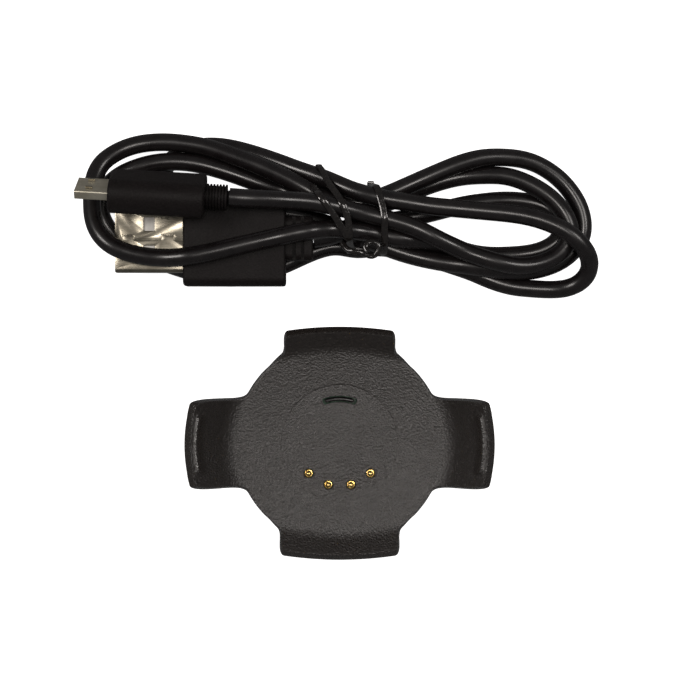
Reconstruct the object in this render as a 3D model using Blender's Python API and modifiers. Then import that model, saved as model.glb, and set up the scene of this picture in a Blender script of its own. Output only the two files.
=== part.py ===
"""Charging cradle for a round running watch, with its loose USB lead folded in a hank.

Metres, +Z up. The origin is the centre of the cradle's foot, on the surface that it stands on.
+Y runs from the contact pins to the locating key, and the lead lies beyond the cradle on +Y.
"""

import math

import bmesh
import bpy
from mathutils import Matrix

GAP = 0.0003  # room between pieces that touch
FINE_GAP = 0.0001  # the same, inside the connectors
CUT = 0.0010  # how far a cutter reaches past the wall it cuts

# Tray: heights are of the upper face, and the wall lies under it
TRAY_WALL = 0.0015
DISC_RADIUS = 0.01025
DISC_TOP = 0.0080
DISC_STEP = 0.0004
STEP_WIDTH = 0.0003
DISH_EDGE = 0.0181
DISH_RISE = 0.0013
WING_TIP = 0.0256
WING_HALF_WIDTH = 0.0075
WING_FOOT = 0.0180
WING_FILLET = 0.0030
WING_SLOPE = 1.12
BEAD_RADIUS = 0.0245
BEAD_HEIGHT = 0.0011
BEAD_HALF_WIDTH = 0.0005
BEAD_HALF_LENGTH = 0.0052
FLANGE_TIP = 0.0195
FLANGE_ARC = 0.061
FLANGE_HALF_WIDTH_KEY = 0.00955
FLANGE_HALF_WIDTH_PINS = 0.01025
FLANGE_FOOT = 0.0153
FLANGE_FILLET = 0.0020
FLANGE_SLOPE = 0.62
FLANGE_BOW = 0.04
WING_CORNER, WING_NECK = 0.0030, 0.0026  # how far the outline's corners are blended
FLANGE_CORNER, FLANGE_NECK = 0.0018, 0.0008
TRAY_COLUMNS = 112
TRAY_ROWS = (0.25, 0.45, 0.65, 0.8, 0.886, 0.94, 1.0)  # shares of the way from the dish to the edge
DISH_MIDDLE = 0.0130
DISH_OUTER = 0.0160

# Housing, board and screws under the tray
PAD_RADIUS, PAD_TOP = 0.0143, 0.0007
BASE_BOTTOM, BASE_TOP = 0.0003, 0.0072
BASE_RADIUS_BOTTOM, BASE_RADIUS_TOP = 0.0158, 0.0168
BASE_WALL = 0.0015
BASE_EDGE = 0.0006
FLOOR_BOTTOM, FLOOR_TOP = 0.0009, 0.0019
BOARD_BOTTOM, BOARD_TOP = 0.0022, 0.0030
BOARD_RADIUS = 0.0104
BOARD_TAB_HALF_WIDTH, BOARD_TAB_END = 0.0044, 0.0136
SCREW_CIRCLE = 0.0128
SCREW_ANGLES = (30, 150, 270)
SCREW_RADIUS, SCREW_HEAD_RADIUS, SCREW_HEAD_HEIGHT = 0.0007, 0.0013, 0.0008
SCREW_BOTTOM, SCREW_TOP = 0.0011, 0.0064
BASE_BOSS_RADIUS, BASE_BOSS_TOP = 0.0020, 0.0043
TRAY_BOSS_RADIUS, TRAY_BOSS_BOTTOM, TRAY_BOSS_TOP = 0.0018, 0.0046, 0.0079
PAD_EDGE = 0.0003
CAPACITOR_LOW, CAPACITOR_SIZE = (-0.0060, 0.0005), (0.0020, 0.0012, 0.0011)
FUSE_LOW, FUSE_SIZE = (0.0035, 0.0002), (0.0032, 0.0016, 0.0007)

# Contact pins and locating key, all on one circle
PIN_CIRCLE = 0.0077
PIN_ANGLES = (-135, -105, -75, -45)
PIN_HOLE_RADIUS = 0.000875
BARREL_RADIUS, BARREL_BORE = 0.00072, 0.00055
BARREL_BOTTOM, BARREL_FLOOR, BARREL_TOP = 0.0031, 0.0034, 0.0081
PLUNGER_RADIUS, PLUNGER_BOTTOM, PLUNGER_TOP = 0.00045, 0.0063, 0.0092
SPRING_RADIUS, SPRING_WIRE, SPRING_TURNS = 0.00036, 0.00006, 5
KEY_HALF_ANGLE, KEY_WIDTH = 19, 0.0006
KEY_BOTTOM, KEY_TOP = 0.0033, 0.0086
SLOT_HALF_ANGLE, SLOT_WIDTH = 23, 0.0012

# Socket on the board, opening towards +Y
SOCKET_WIDTH, SOCKET_HEIGHT, SOCKET_WALL = 0.0075, 0.00245, 0.00025
SOCKET_BACK, SOCKET_MOUTH = 0.0109, 0.0159
SOCKET_BOTTOM = BOARD_TOP + FINE_GAP
SOCKET_BLOCK, SOCKET_BLADE = 0.0010, 0.0038  # how far the tongue's root and blade reach
SOCKET_BLADE_HALF_WIDTH, SOCKET_BLADE_THICKNESS, SOCKET_BLADE_DROP = 0.0022, 0.0006, 0.00045
WINDOW_INNER, HOUSING_OUTSIDE = 0.0130, 0.0200
HOUSING_FLAT, FLAT_HALF_WIDTH = 0.0161, 0.0060  # a flat on the housing for the plug's end
FLAT_BOTTOM, FLAT_TOP = 0.0010, 0.0100
CONTACT_HALF_WIDTH, CONTACT_THICKNESS = 0.0001, 0.0001

# Lead
CORD_RADIUS = 0.0016
USB_X = (-0.0395, -0.0275, -0.0095, -0.0047)  # mouth, overmould, strain relief, its end
USB_Y, USB_Z = 0.0360, 0.0072
USB_SHELL_WIDTH, USB_SHELL_HEIGHT, USB_SHELL_WALL = 0.0120, 0.0045, 0.0003
USB_BODY_WIDTH, USB_BODY_HEIGHT = 0.0168, 0.0074
USB_RELIEF_WIDTH, USB_RELIEF_HEIGHT = 0.0078, 0.0060
USB_WINDOW = (0.0020, 0.0024)
USB_WINDOW_X, USB_WINDOW_OFFSET = -0.0335, 0.0025
USB_PITCH = 0.0023
USB_CONTACT_LENGTH, USB_CONTACT_HALF_WIDTH, USB_CONTACT_THICKNESS = 0.0074, 0.0005, 0.0002
USB_OUTER_CONTACT, USB_INNER_CONTACT, USB_TONGUE_INSET = 0.0012, 0.0022, 0.0006
USB_BODY_EDGE, USB_RELIEF_EDGE, USB_SHELL_EDGE, END_EDGE = 0.0015, 0.0012, 0.0006, 0.0005
SHELL_HIDDEN = 0.0060  # how far a plug's shell runs on inside its overmould
MICRO_X = (-0.0455, -0.0397, -0.0232, -0.0194)
MICRO_MIDDLE = (-0.03245, 0.0435, 0.0158)
MICRO_ROLL, MICRO_YAW = math.radians(-65), math.radians(-3.3)
MICRO_SHELL_WIDTH, MICRO_SHELL_NARROW, MICRO_SHELL_HEIGHT = 0.00685, 0.0054, 0.0018
MICRO_SHELL_WALL = 0.00025
MICRO_BODY_WIDTH, MICRO_BODY_HEIGHT = 0.0098, 0.0062
MICRO_RELIEF_RADIUS = 0.0022
MICRO_BODY_EDGE = 0.0028
MICRO_PITCH = 0.00065
MICRO_TONGUE_INSET, MICRO_TONGUE_HALF_WIDTH = 0.0012, 0.0022
MICRO_TONGUE_LOW, MICRO_TONGUE_HIGH = -0.0005, -0.0001
MICRO_CONTACT_START, MICRO_CONTACT_END = 0.0014, 0.0050
MICRO_LATCH_START, MICRO_LATCH_END, MICRO_LATCH_Y = 0.0018, 0.0030, 0.0018
MICRO_LATCH_HALF_WIDTH, MICRO_LATCH_HEIGHT = 0.0002, 0.0004

# Hank: two fanned bundles of folds and the waist that the tie holds
MICRO_LEAD_ROUTE = (
    (-0.0191, 0.0428, 0.0158),
    (-0.0150, 0.0426, 0.0156),
    (-0.0108, 0.0424, 0.0145),
    (-0.0072, 0.0423, 0.0129),
    (-0.0042, 0.0422, 0.0112),
)
USB_LEAD_ROUTE = ((-0.0044, USB_Y, USB_Z), (-0.0038, USB_Y, USB_Z), (-0.0033, USB_Y, USB_Z))
LEFT_FOLDS = (
    (-0.0458, 0.0400), (-0.0430, 0.0478), (-0.0345, 0.0535), (-0.0250, 0.0548),
    (-0.0140, 0.0520), (0.0000, 0.0455), (0.0000, 0.0335), (-0.0100, 0.0290),
    (-0.0220, 0.0263), (-0.0330, 0.0285), (-0.0420, 0.0330),
)
RIGHT_FOLDS = (
    (0.0110, 0.0445), (0.0190, 0.0500), (0.0280, 0.0522), (0.0370, 0.0490),
    (0.0435, 0.0410), (0.0460, 0.0335), (0.0420, 0.0270), (0.0340, 0.0254),
    (0.0200, 0.0285), (0.0110, 0.0340),
)
LAYER = 0.0032
LEFT_TOP, RIGHT_TOP = 0.0084, 0.0085
WAIST_LOW, WAIST_HIGH = (-0.0030, 0.0331, 0.0013), (0.0125, 0.0450, 0.0104)
PLUG_ROOM_X, PLUG_ROOM_Y = -0.0400, (0.0200, 0.0448)  # where the USB-A plug lies in the left folds
TIE_X, TIE_WIDTH, TIE_THICKNESS = 0.0068, 0.0012, 0.0008

COLOURS = {
    "tray_plastic": ((0.030, 0.026, 0.025), 0.62, 0.0),
    "housing_plastic": ((0.028, 0.025, 0.024), 0.60, 0.0),
    "key_plastic": ((0.012, 0.012, 0.012), 0.20, 0.0),
    "pad_rubber": ((0.020, 0.020, 0.020), 0.90, 0.0),
    "contact_gold": ((0.90, 0.66, 0.26), 0.22, 1.0),
    "spring_steel": ((0.60, 0.60, 0.60), 0.30, 1.0),
    "board_laminate": ((0.02, 0.12, 0.05), 0.45, 0.0),
    "component_ceramic": ((0.45, 0.36, 0.26), 0.60, 0.0),
    "connector_steel": ((0.72, 0.71, 0.69), 0.25, 1.0),
    "connector_plastic": ((0.85, 0.85, 0.83), 0.50, 0.0),
    "screw_steel": ((0.45, 0.45, 0.46), 0.35, 1.0),
    "overmould_plastic": ((0.022, 0.020, 0.020), 0.55, 0.0),
    "cord_sheath": ((0.018, 0.015, 0.016), 0.32, 0.0),
    "tie_coating": ((0.015, 0.014, 0.014), 0.35, 0.0),
}


def clear_scene():
    for obj in list(bpy.data.objects):
        bpy.data.objects.remove(obj, do_unlink=True)


def new_collection(name):
    collection = bpy.data.collections.new(name)
    bpy.context.scene.collection.children.link(collection)
    return collection


def material(name):
    if name in bpy.data.materials:
        return bpy.data.materials[name]
    colour, roughness, metallic = COLOURS[name]
    made = bpy.data.materials.new(name)
    made.use_nodes = True
    shader = made.node_tree.nodes["Principled BSDF"]
    shader.inputs["Base Color"].default_value = (*colour, 1.0)
    shader.inputs["Roughness"].default_value = roughness
    shader.inputs["Metallic"].default_value = metallic
    return made


def place(obj, finish=None):
    """Puts a piece in the cradle's collection, or a cutter, which has no finish, in the other one."""
    for collection in list(obj.users_collection):
        collection.objects.unlink(obj)
    if finish is None:
        CUTTERS.objects.link(obj)
        obj.hide_render = True
        obj.display_type = "WIRE"
    else:
        PARTS.objects.link(obj)
        obj.data.materials.clear()
        obj.data.materials.append(material(finish))
    return obj


def new_mesh_object(name, bm, finish=None):
    mesh = bpy.data.meshes.new(name)
    bm.to_mesh(mesh)
    bm.free()
    obj = bpy.data.objects.new(name, mesh)
    bpy.context.scene.collection.objects.link(obj)
    return place(obj, finish)


def smooth(obj, angle=35):
    obj.data.shade_smooth()
    obj.data.set_sharp_from_angle(angle=math.radians(angle))
    return obj


def box(name, low, high, finish=None):
    """A block between two corners."""
    centre = [(a + b) / 2 for a, b in zip(low, high)]
    bpy.ops.mesh.primitive_cube_add(size=1, location=centre)
    obj = bpy.context.object
    obj.name = name
    obj.scale = [b - a for a, b in zip(low, high)]
    bpy.ops.object.transform_apply(location=False, rotation=False, scale=True)
    return place(obj, finish)


def rod(name, x, y, low, high, radius, finish=None, sides=24):
    """An upright cylinder between two heights."""
    bpy.ops.mesh.primitive_cylinder_add(
        vertices=sides, radius=radius, depth=high - low, location=(x, y, (low + high) / 2)
    )
    obj = bpy.context.object
    obj.name = name
    return smooth(place(obj, finish))


def turned(name, profile, finish=None, steps=48, merge=0.00001):
    """A profile of (radius, height) points turned about Z, running down its outer side."""
    bm = bmesh.new()
    points = [bm.verts.new((radius, 0, height)) for radius, height in profile]
    for start, end in zip(points, points[1:]):
        bm.edges.new((start, end))
    obj = new_mesh_object(name, bm, finish)
    screw = obj.modifiers.new("turn", "SCREW")
    screw.axis = "Z"
    screw.steps = screw.render_steps = steps
    screw.use_merge_vertices = True
    screw.merge_threshold = merge
    return smooth(obj)


def meshed(curve_object, finish=None):
    """A mesh copy of a curve, with its caps welded, in place of the curve."""
    graph = bpy.context.evaluated_depsgraph_get()
    mesh = bpy.data.meshes.new_from_object(curve_object.evaluated_get(graph))
    bm = bmesh.new()
    bm.from_mesh(mesh)
    bmesh.ops.remove_doubles(bm, verts=bm.verts, dist=0.000001)
    bmesh.ops.recalc_face_normals(bm, faces=bm.faces)
    bm.to_mesh(mesh)
    bm.free()
    name = curve_object.name
    obj = bpy.data.objects.new(name + "_mesh", mesh)
    obj.matrix_world = curve_object.matrix_world
    bpy.context.scene.collection.objects.link(obj)
    bpy.data.objects.remove(curve_object, do_unlink=True)
    obj.name = name
    return place(obj, finish)


def extruded(name, outline, low, high, finish=None, rounded=False):
    """A flat outline made solid between two heights; rounded draws it as one smooth curve."""
    curve = bpy.data.curves.new(name, "CURVE")
    curve.dimensions = "2D"
    curve.fill_mode = "BOTH"
    curve.extrude = (high - low) / 2
    spline = curve.splines.new("BEZIER" if rounded else "POLY")
    points = spline.bezier_points if rounded else spline.points
    points.add(len(outline) - 1)
    for point, (x, y) in zip(points, outline):
        point.co = (x, y, 0) if rounded else (x, y, 0, 1)
        if rounded:
            point.handle_left_type = point.handle_right_type = "AUTO"
    curve.resolution_u = 4
    spline.use_cyclic_u = True
    obj = bpy.data.objects.new(name, curve)
    obj.location.z = (low + high) / 2
    bpy.context.scene.collection.objects.link(obj)
    bpy.context.view_layer.update()
    return meshed(obj, finish)


def tube(name, route, radius, finish):
    """A round wire through the route's points, with filled ends."""
    curve = bpy.data.curves.new(name, "CURVE")
    curve.dimensions = "3D"
    curve.bevel_depth = radius
    curve.bevel_resolution = 2
    curve.use_fill_caps = True
    spline = curve.splines.new("POLY")
    spline.points.add(len(route) - 1)
    for point, place_ in zip(spline.points, route):
        point.co = (*place_, 1)
    obj = bpy.data.objects.new(name, curve)
    bpy.context.scene.collection.objects.link(obj)
    return place(obj, finish)


def smooth_route(route, per_span):
    """Points read from a Catmull-Rom curve through the route's own points."""
    ends = [route[0], *route, route[-1]]
    points = []
    for a, b, c, d in zip(ends, ends[1:], ends[2:], ends[3:]):
        for step in range(per_span):
            t = step / per_span
            points.append([
                0.5 * (2 * q + (r - p) * t + (2 * p - 5 * q + 4 * r - s) * t * t
                       + (3 * q - p - 3 * r + s) * t ** 3)
                for p, q, r, s in zip(a, b, c, d)
            ])
    return points + [list(route[-1])]


def boolean(obj, other, operation="DIFFERENCE"):
    modifier = obj.modifiers.new(operation.lower() + "_" + other.name, "BOOLEAN")
    modifier.operation = operation
    modifier.object = other
    modifier.solver = "EXACT"
    return obj


def bevel(obj, width, segments=2, angle=40):
    modifier = obj.modifiers.new("edges", "BEVEL")
    modifier.width = width
    modifier.segments = segments
    modifier.limit_method = "ANGLE"
    modifier.angle_limit = math.radians(angle)
    return obj


def bevel_along_x(obj, width, segments):
    """Rounds only the edges that run along X."""
    bm = bmesh.new()
    bm.from_mesh(obj.data)
    edges = [e for e in bm.edges if abs((e.verts[0].co - e.verts[1].co).normalized().x) > 0.99]
    bmesh.ops.bevel(bm, geom=edges, offset=width, segments=segments, profile=0.5, affect="EDGES")
    bm.to_mesh(obj.data)
    bm.free()
    return obj


def on_circle(radius, degrees):
    angle = math.radians(degrees)
    return radius * math.cos(angle), radius * math.sin(angle)


# Tray


def smooth_min(a, b, blend):
    near = max(blend - abs(a - b), 0) / blend
    return min(a, b) - near * near * blend / 4


def smooth_max(a, b, blend):
    return -smooth_min(-a, -b, blend)


def outline_radius(angle):
    """How far the tray's upper face reaches from the centre in one direction."""
    across, along = abs(math.cos(angle)) + 1e-9, abs(math.sin(angle)) + 1e-9
    wing = smooth_min(WING_TIP, WING_HALF_WIDTH / along, WING_CORNER)
    half_width = FLANGE_HALF_WIDTH_KEY if math.sin(angle) > 0 else FLANGE_HALF_WIDTH_PINS
    arc_centre = FLANGE_ARC - FLANGE_TIP
    tip = math.sqrt(FLANGE_ARC ** 2 - (arc_centre * across) ** 2) - arc_centre * along
    flange = smooth_min(tip, half_width / across, FLANGE_CORNER)
    return smooth_max(smooth_max(DISH_EDGE, wing, WING_NECK), flange, FLANGE_NECK)


def ramp(distance, fillet, slope):
    """The height of a slope that starts in a rounded corner."""
    if distance <= 0:
        return 0
    if distance < fillet:
        return slope * distance ** 2 / (2 * fillet)
    return slope * (distance - fillet / 2)


def tray_height(x, y):
    """The height of the tray's upper face, outside the disc."""
    radius = math.hypot(x, y)
    share = max(radius - DISC_RADIUS, 0) / (DISH_EDGE - DISC_RADIUS)
    height = DISC_TOP + DISC_STEP + DISH_RISE * share ** 1.5
    if abs(x) > abs(y):
        height += ramp(radius - WING_FOOT, WING_FILLET, WING_SLOPE)
        across = math.exp(-(((radius - BEAD_RADIUS) / BEAD_HALF_WIDTH) ** 2))
        height += BEAD_HEIGHT * across * (abs(y) < BEAD_HALF_LENGTH)
    else:
        bowed = abs(y) + x * x / (2 * FLANGE_BOW)
        height += ramp(bowed - FLANGE_FOOT, FLANGE_FILLET, FLANGE_SLOPE)
    return height


def column_angles(count):
    """Directions whose points on the outline are evenly spaced along it."""
    fine = 3600
    angles = [2 * math.pi * i / fine for i in range(fine + 1)]
    edge = [(outline_radius(a) * math.cos(a), outline_radius(a) * math.sin(a)) for a in angles]
    travelled = [0.0]
    for start, end in zip(edge, edge[1:]):
        travelled.append(travelled[-1] + math.dist(start, end))
    chosen, i = [], 0
    for step in range(count):
        while travelled[i] < travelled[-1] * step / count:
            i += 1
        chosen.append(angles[i])
    return chosen


def tray_surface():
    """The tray's upper face: the disc, then rings extruded outwards to the outline."""
    angles = column_angles(TRAY_COLUMNS)
    bm = bmesh.new()
    rim = [bm.verts.new((DISC_RADIUS * math.cos(a), DISC_RADIUS * math.sin(a), DISC_TOP)) for a in angles]
    bm.faces.new(rim)
    inner = (DISC_RADIUS + STEP_WIDTH, DISH_MIDDLE, DISH_OUTER)
    for row in range(len(inner) + len(TRAY_ROWS)):
        edges = [bm.edges.get((a, b)) for a, b in zip(rim, rim[1:] + rim[:1])]
        extruded_ring = bmesh.ops.extrude_edge_only(bm, edges=edges)["geom"]
        moved = {v for v in extruded_ring if isinstance(v, bmesh.types.BMVert)}
        outer = []
        for vert, angle in zip(rim, angles):
            new = next(e.other_vert(vert) for e in vert.link_edges if e.other_vert(vert) in moved)
            radius = inner[row] if row < len(inner) else 0
            if row >= len(inner):
                radius = DISH_OUTER + TRAY_ROWS[row - len(inner)] * (outline_radius(angle) - DISH_OUTER)
            x, y = radius * math.cos(angle), radius * math.sin(angle)
            new.co = (x, y, tray_height(x, y))
            outer.append(new)
        rim = outer
    bmesh.ops.recalc_face_normals(bm, faces=bm.faces)
    if sum(face.normal.z for face in bm.faces) < 0:
        bmesh.ops.reverse_faces(bm, faces=bm.faces)
    return bm


def arc_slot(radius, half_angle, width, steps=8):
    """The outline of a curved slot with round ends, centred on +Y."""
    half = width / 2
    turn = math.radians(half_angle)
    outline = []
    for side, direction in ((radius + half, 1), (radius - half, -1)):
        for step in range(steps + 1):
            angle = math.pi / 2 + direction * (turn - 2 * turn * step / steps)
            outline.append((side * math.cos(angle), side * math.sin(angle)))
        end = math.pi / 2 - direction * turn
        for step in range(1, 4):
            swing = end - direction * math.pi * step / 4
            if direction < 0:
                swing += math.pi
            outline.append((
                radius * math.cos(end) + half * math.cos(swing),
                radius * math.sin(end) + half * math.sin(swing),
            ))
    return outline


def make_tray():
    tray = new_mesh_object("cradle_tray", tray_surface(), "tray_plastic")
    shell = tray.modifiers.new("wall", "SOLIDIFY")
    shell.thickness = TRAY_WALL
    shell.offset = -1
    shell.use_even_offset = True
    bevel(tray, 0.0003, 1, 50)
    for number, degrees in enumerate(SCREW_ANGLES, 1):
        x, y = on_circle(SCREW_CIRCLE, degrees)
        boss = rod(f"tray_boss_{number}", x, y, TRAY_BOSS_BOTTOM, TRAY_BOSS_TOP, TRAY_BOSS_RADIUS)
        low, high = TRAY_BOSS_BOTTOM - CUT, SCREW_TOP + GAP
        pilot = rod(f"pilot_hole_{number}", x, y, low, high, SCREW_RADIUS + GAP, sides=16)
        boolean(tray, boss, "UNION")
        boolean(tray, pilot)
    low, high = DISC_TOP - TRAY_WALL - CUT, DISC_TOP + CUT
    for number, degrees in enumerate(PIN_ANGLES, 1):
        x, y = on_circle(PIN_CIRCLE, degrees)
        boolean(tray, rod(f"pin_hole_{number}", x, y, low, high, PIN_HOLE_RADIUS, sides=20))
    boolean(tray, extruded("key_slot", arc_slot(PIN_CIRCLE, SLOT_HALF_ANGLE, SLOT_WIDTH), low, high))
    return smooth(tray, 30)


def make_key():
    outline = arc_slot(PIN_CIRCLE, KEY_HALF_ANGLE, KEY_WIDTH)
    key = extruded("locating_key", outline, KEY_BOTTOM, KEY_TOP, "key_plastic")
    return smooth(key)


# Housing


def make_base():
    slope = (BASE_RADIUS_TOP - BASE_RADIUS_BOTTOM) / (BASE_TOP - BASE_BOTTOM)
    inner_bottom = BASE_RADIUS_BOTTOM + slope * (FLOOR_TOP - BASE_BOTTOM) - BASE_WALL
    base = turned(
        "base_housing",
        (
            (0, FLOOR_TOP),
            (inner_bottom, FLOOR_TOP),
            (BASE_RADIUS_TOP - BASE_WALL, BASE_TOP),
            (BASE_RADIUS_TOP, BASE_TOP),
            (BASE_RADIUS_BOTTOM, BASE_BOTTOM + BASE_EDGE),
            (BASE_RADIUS_BOTTOM - BASE_EDGE / 3, BASE_BOTTOM + BASE_EDGE / 3),
            (BASE_RADIUS_BOTTOM - BASE_EDGE, BASE_BOTTOM),
            (PAD_RADIUS + GAP, BASE_BOTTOM),
            (PAD_RADIUS + GAP, FLOOR_BOTTOM),
            (0, FLOOR_BOTTOM),
        ),
        "housing_plastic",
    )
    for number, degrees in enumerate(SCREW_ANGLES, 1):
        x, y = on_circle(SCREW_CIRCLE, degrees)
        top = SCREW_BOTTOM + SCREW_HEAD_HEIGHT
        boss = rod(f"base_boss_{number}", x, y, FLOOR_BOTTOM + GAP, BASE_BOSS_TOP, BASE_BOSS_RADIUS)
        boolean(base, boss, "UNION")
        boolean(base, rod(f"head_recess_{number}", x, y, 0, top + GAP, SCREW_HEAD_RADIUS + GAP))
        hole_top = BASE_BOSS_TOP + CUT
        boolean(base, rod(f"screw_hole_{number}", x, y, 0, hole_top, SCREW_RADIUS + GAP, sides=16))
    side = SOCKET_WIDTH / 2 + GAP
    low, high = SOCKET_BOTTOM - GAP, SOCKET_BOTTOM + SOCKET_HEIGHT + GAP
    boolean(base, box("socket_window", (-side, WINDOW_INNER, low), (side, HOUSING_OUTSIDE, high)))
    flat_low = (-FLAT_HALF_WIDTH, HOUSING_FLAT, FLAT_BOTTOM)
    boolean(base, box("plug_flat", flat_low, (FLAT_HALF_WIDTH, HOUSING_OUTSIDE, FLAT_TOP)))
    return base


def make_pad():
    """A disc with a rounded lower edge."""
    profile = (
        (0, PAD_TOP), (PAD_RADIUS, PAD_TOP), (PAD_RADIUS, PAD_EDGE), (PAD_RADIUS - PAD_EDGE, 0), (0, 0),
    )
    return turned("anti_slip_pad", profile, "pad_rubber")


def make_board():
    """A round board with a tab under the socket."""
    start = math.degrees(math.acos(BOARD_TAB_HALF_WIDTH / BOARD_RADIUS))
    sweep = 360 - 2 * (90 - start)
    steps = 28
    outline = [on_circle(BOARD_RADIUS, 180 - start + sweep * i / steps) for i in range(steps + 1)]
    outline += [(BOARD_TAB_HALF_WIDTH, BOARD_TAB_END), (-BOARD_TAB_HALF_WIDTH, BOARD_TAB_END)]
    return extruded("circuit_board", outline, BOARD_BOTTOM, BOARD_TOP, "board_laminate")


def make_components():
    for name, corner, size in (
        ("input_capacitor", CAPACITOR_LOW, CAPACITOR_SIZE),
        ("resettable_fuse", FUSE_LOW, FUSE_SIZE),
    ):
        low = (*corner, BOARD_TOP + FINE_GAP)
        box(name, low, [a + b for a, b in zip(low, size)], "component_ceramic")


def make_screws():
    for number, degrees in enumerate(SCREW_ANGLES, 1):
        x, y = on_circle(SCREW_CIRCLE, degrees)
        shoulder = SCREW_BOTTOM + SCREW_HEAD_HEIGHT
        screw = turned(
            f"case_screw_{number}",
            (
                (0, SCREW_TOP),
                (SCREW_RADIUS * 0.6, SCREW_TOP),
                (SCREW_RADIUS, SCREW_TOP - 0.0005),
                (SCREW_RADIUS, shoulder),
                (SCREW_HEAD_RADIUS, shoulder),
                (SCREW_HEAD_RADIUS, SCREW_BOTTOM + 0.0001),
                (SCREW_HEAD_RADIUS - 0.0001, SCREW_BOTTOM),
                (0, SCREW_BOTTOM),
            ),
            "screw_steel",
            steps=20,
        )
        screw.location = (x, y, 0)


# Contact pins


def make_pins():
    for number, degrees in enumerate(PIN_ANGLES, 1):
        x, y = on_circle(PIN_CIRCLE, degrees)
        make_barrel(number).location = (x, y, 0)
        make_plunger(number).location = (x, y, 0)
        make_spring(number).location = (x, y, 0)


def make_barrel(number):
    chamfer = 0.0001
    profile = (
        (0, BARREL_FLOOR),
        (BARREL_BORE, BARREL_FLOOR),
        (BARREL_BORE, BARREL_TOP),
        (BARREL_RADIUS - chamfer, BARREL_TOP),
        (BARREL_RADIUS, BARREL_TOP - chamfer),
        (BARREL_RADIUS, BARREL_BOTTOM),
        (0, BARREL_BOTTOM),
    )
    return turned(f"pogo_barrel_{number}", profile, "contact_gold", steps=20)


def make_plunger(number):
    """A round pin with a domed tip."""
    steps = 4
    dome = [
        (PLUNGER_RADIUS * math.sin(a), PLUNGER_TOP - PLUNGER_RADIUS * (1 - math.cos(a)))
        for a in (math.pi / 2 * i / steps for i in range(steps + 1))
    ]
    profile = [*dome, (PLUNGER_RADIUS, PLUNGER_BOTTOM), (0, PLUNGER_BOTTOM)]
    return turned(f"pogo_plunger_{number}", profile, "contact_gold", steps=20)


def make_spring(number):
    per_turn = 8
    low, high = BARREL_FLOOR + SPRING_WIRE + FINE_GAP, PLUNGER_BOTTOM - SPRING_WIRE - FINE_GAP
    count = SPRING_TURNS * per_turn
    route = []
    for i in range(count + 1):
        angle = 2 * math.pi * i / per_turn
        height = low + (high - low) * i / count
        route.append((SPRING_RADIUS * math.cos(angle), SPRING_RADIUS * math.sin(angle), height))
    return tube(f"pogo_spring_{number}", route, SPRING_WIRE, "spring_steel")


# Socket


def make_socket():
    half, top = SOCKET_WIDTH / 2, SOCKET_BOTTOM + SOCKET_HEIGHT
    shell = box(
        "socket_shell", (-half, SOCKET_BACK, SOCKET_BOTTOM), (half, SOCKET_MOUTH, top), "connector_steel"
    )
    wall = SOCKET_WALL
    inside = box(
        "socket_cavity",
        (wall - half, SOCKET_BACK + wall, SOCKET_BOTTOM + wall),
        (half - wall, SOCKET_MOUTH + wall, top - wall),
    )
    boolean(shell, inside)
    back = SOCKET_BACK + wall + FINE_GAP
    block_low = (wall + FINE_GAP - half, back, SOCKET_BOTTOM + wall + FINE_GAP)
    block_high = (half - wall - FINE_GAP, back + SOCKET_BLOCK, top - wall - FINE_GAP)
    tongue = box("socket_tongue", block_low, block_high, "connector_plastic")
    blade_top = top - wall - SOCKET_BLADE_DROP
    blade_bottom = blade_top - SOCKET_BLADE_THICKNESS
    blade = box(
        "tongue_blade",
        (-SOCKET_BLADE_HALF_WIDTH, back + SOCKET_BLOCK / 2, blade_bottom),
        (SOCKET_BLADE_HALF_WIDTH, back + SOCKET_BLADE, blade_top),
    )
    boolean(tongue, blade, "UNION")
    contact_top = blade_bottom - FINE_GAP
    for number in range(1, 6):
        x = (number - 3) * MICRO_PITCH
        low = (x - CONTACT_HALF_WIDTH, back + SOCKET_BLOCK + 2 * FINE_GAP, contact_top - CONTACT_THICKNESS)
        high = (x + CONTACT_HALF_WIDTH, back + SOCKET_BLADE - 2 * FINE_GAP, contact_top)
        box(f"socket_contact_{number}", low, high, "contact_gold")


# USB-A plug


def make_usb_a():
    mouth, body, relief, end = USB_X
    half_width, half_height = USB_SHELL_WIDTH / 2, USB_SHELL_HEIGHT / 2
    low = (mouth, USB_Y - half_width, USB_Z - half_height)
    high = (body + SHELL_HIDDEN, USB_Y + half_width, USB_Z + half_height)
    shell = bevel_along_x(box("usb_a_shell", low, high, "connector_steel"), USB_SHELL_EDGE, 2)
    wall = USB_SHELL_WALL
    inside = box(
        "usb_a_cavity",
        (mouth - wall, low[1] + wall, low[2] + wall),
        (high[0] - wall, high[1] - wall, high[2] - wall),
    )
    boolean(shell, inside)
    for side in (-1, 1):
        for face in (-1, 1):
            x, y = USB_WINDOW_X, USB_Y + side * USB_WINDOW_OFFSET
            z = USB_Z + face * half_height
            long, wide = USB_WINDOW[0] / 2, USB_WINDOW[1] / 2
            window = box(
                f"usb_a_window_{side}_{face}",
                (x - long, y - wide, z - 2 * wall),
                (x + long, y + wide, z + 2 * wall),
            )
            boolean(shell, window)
    make_usb_a_inside(low, high)
    make_usb_a_overmould(body, relief, end)


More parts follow.
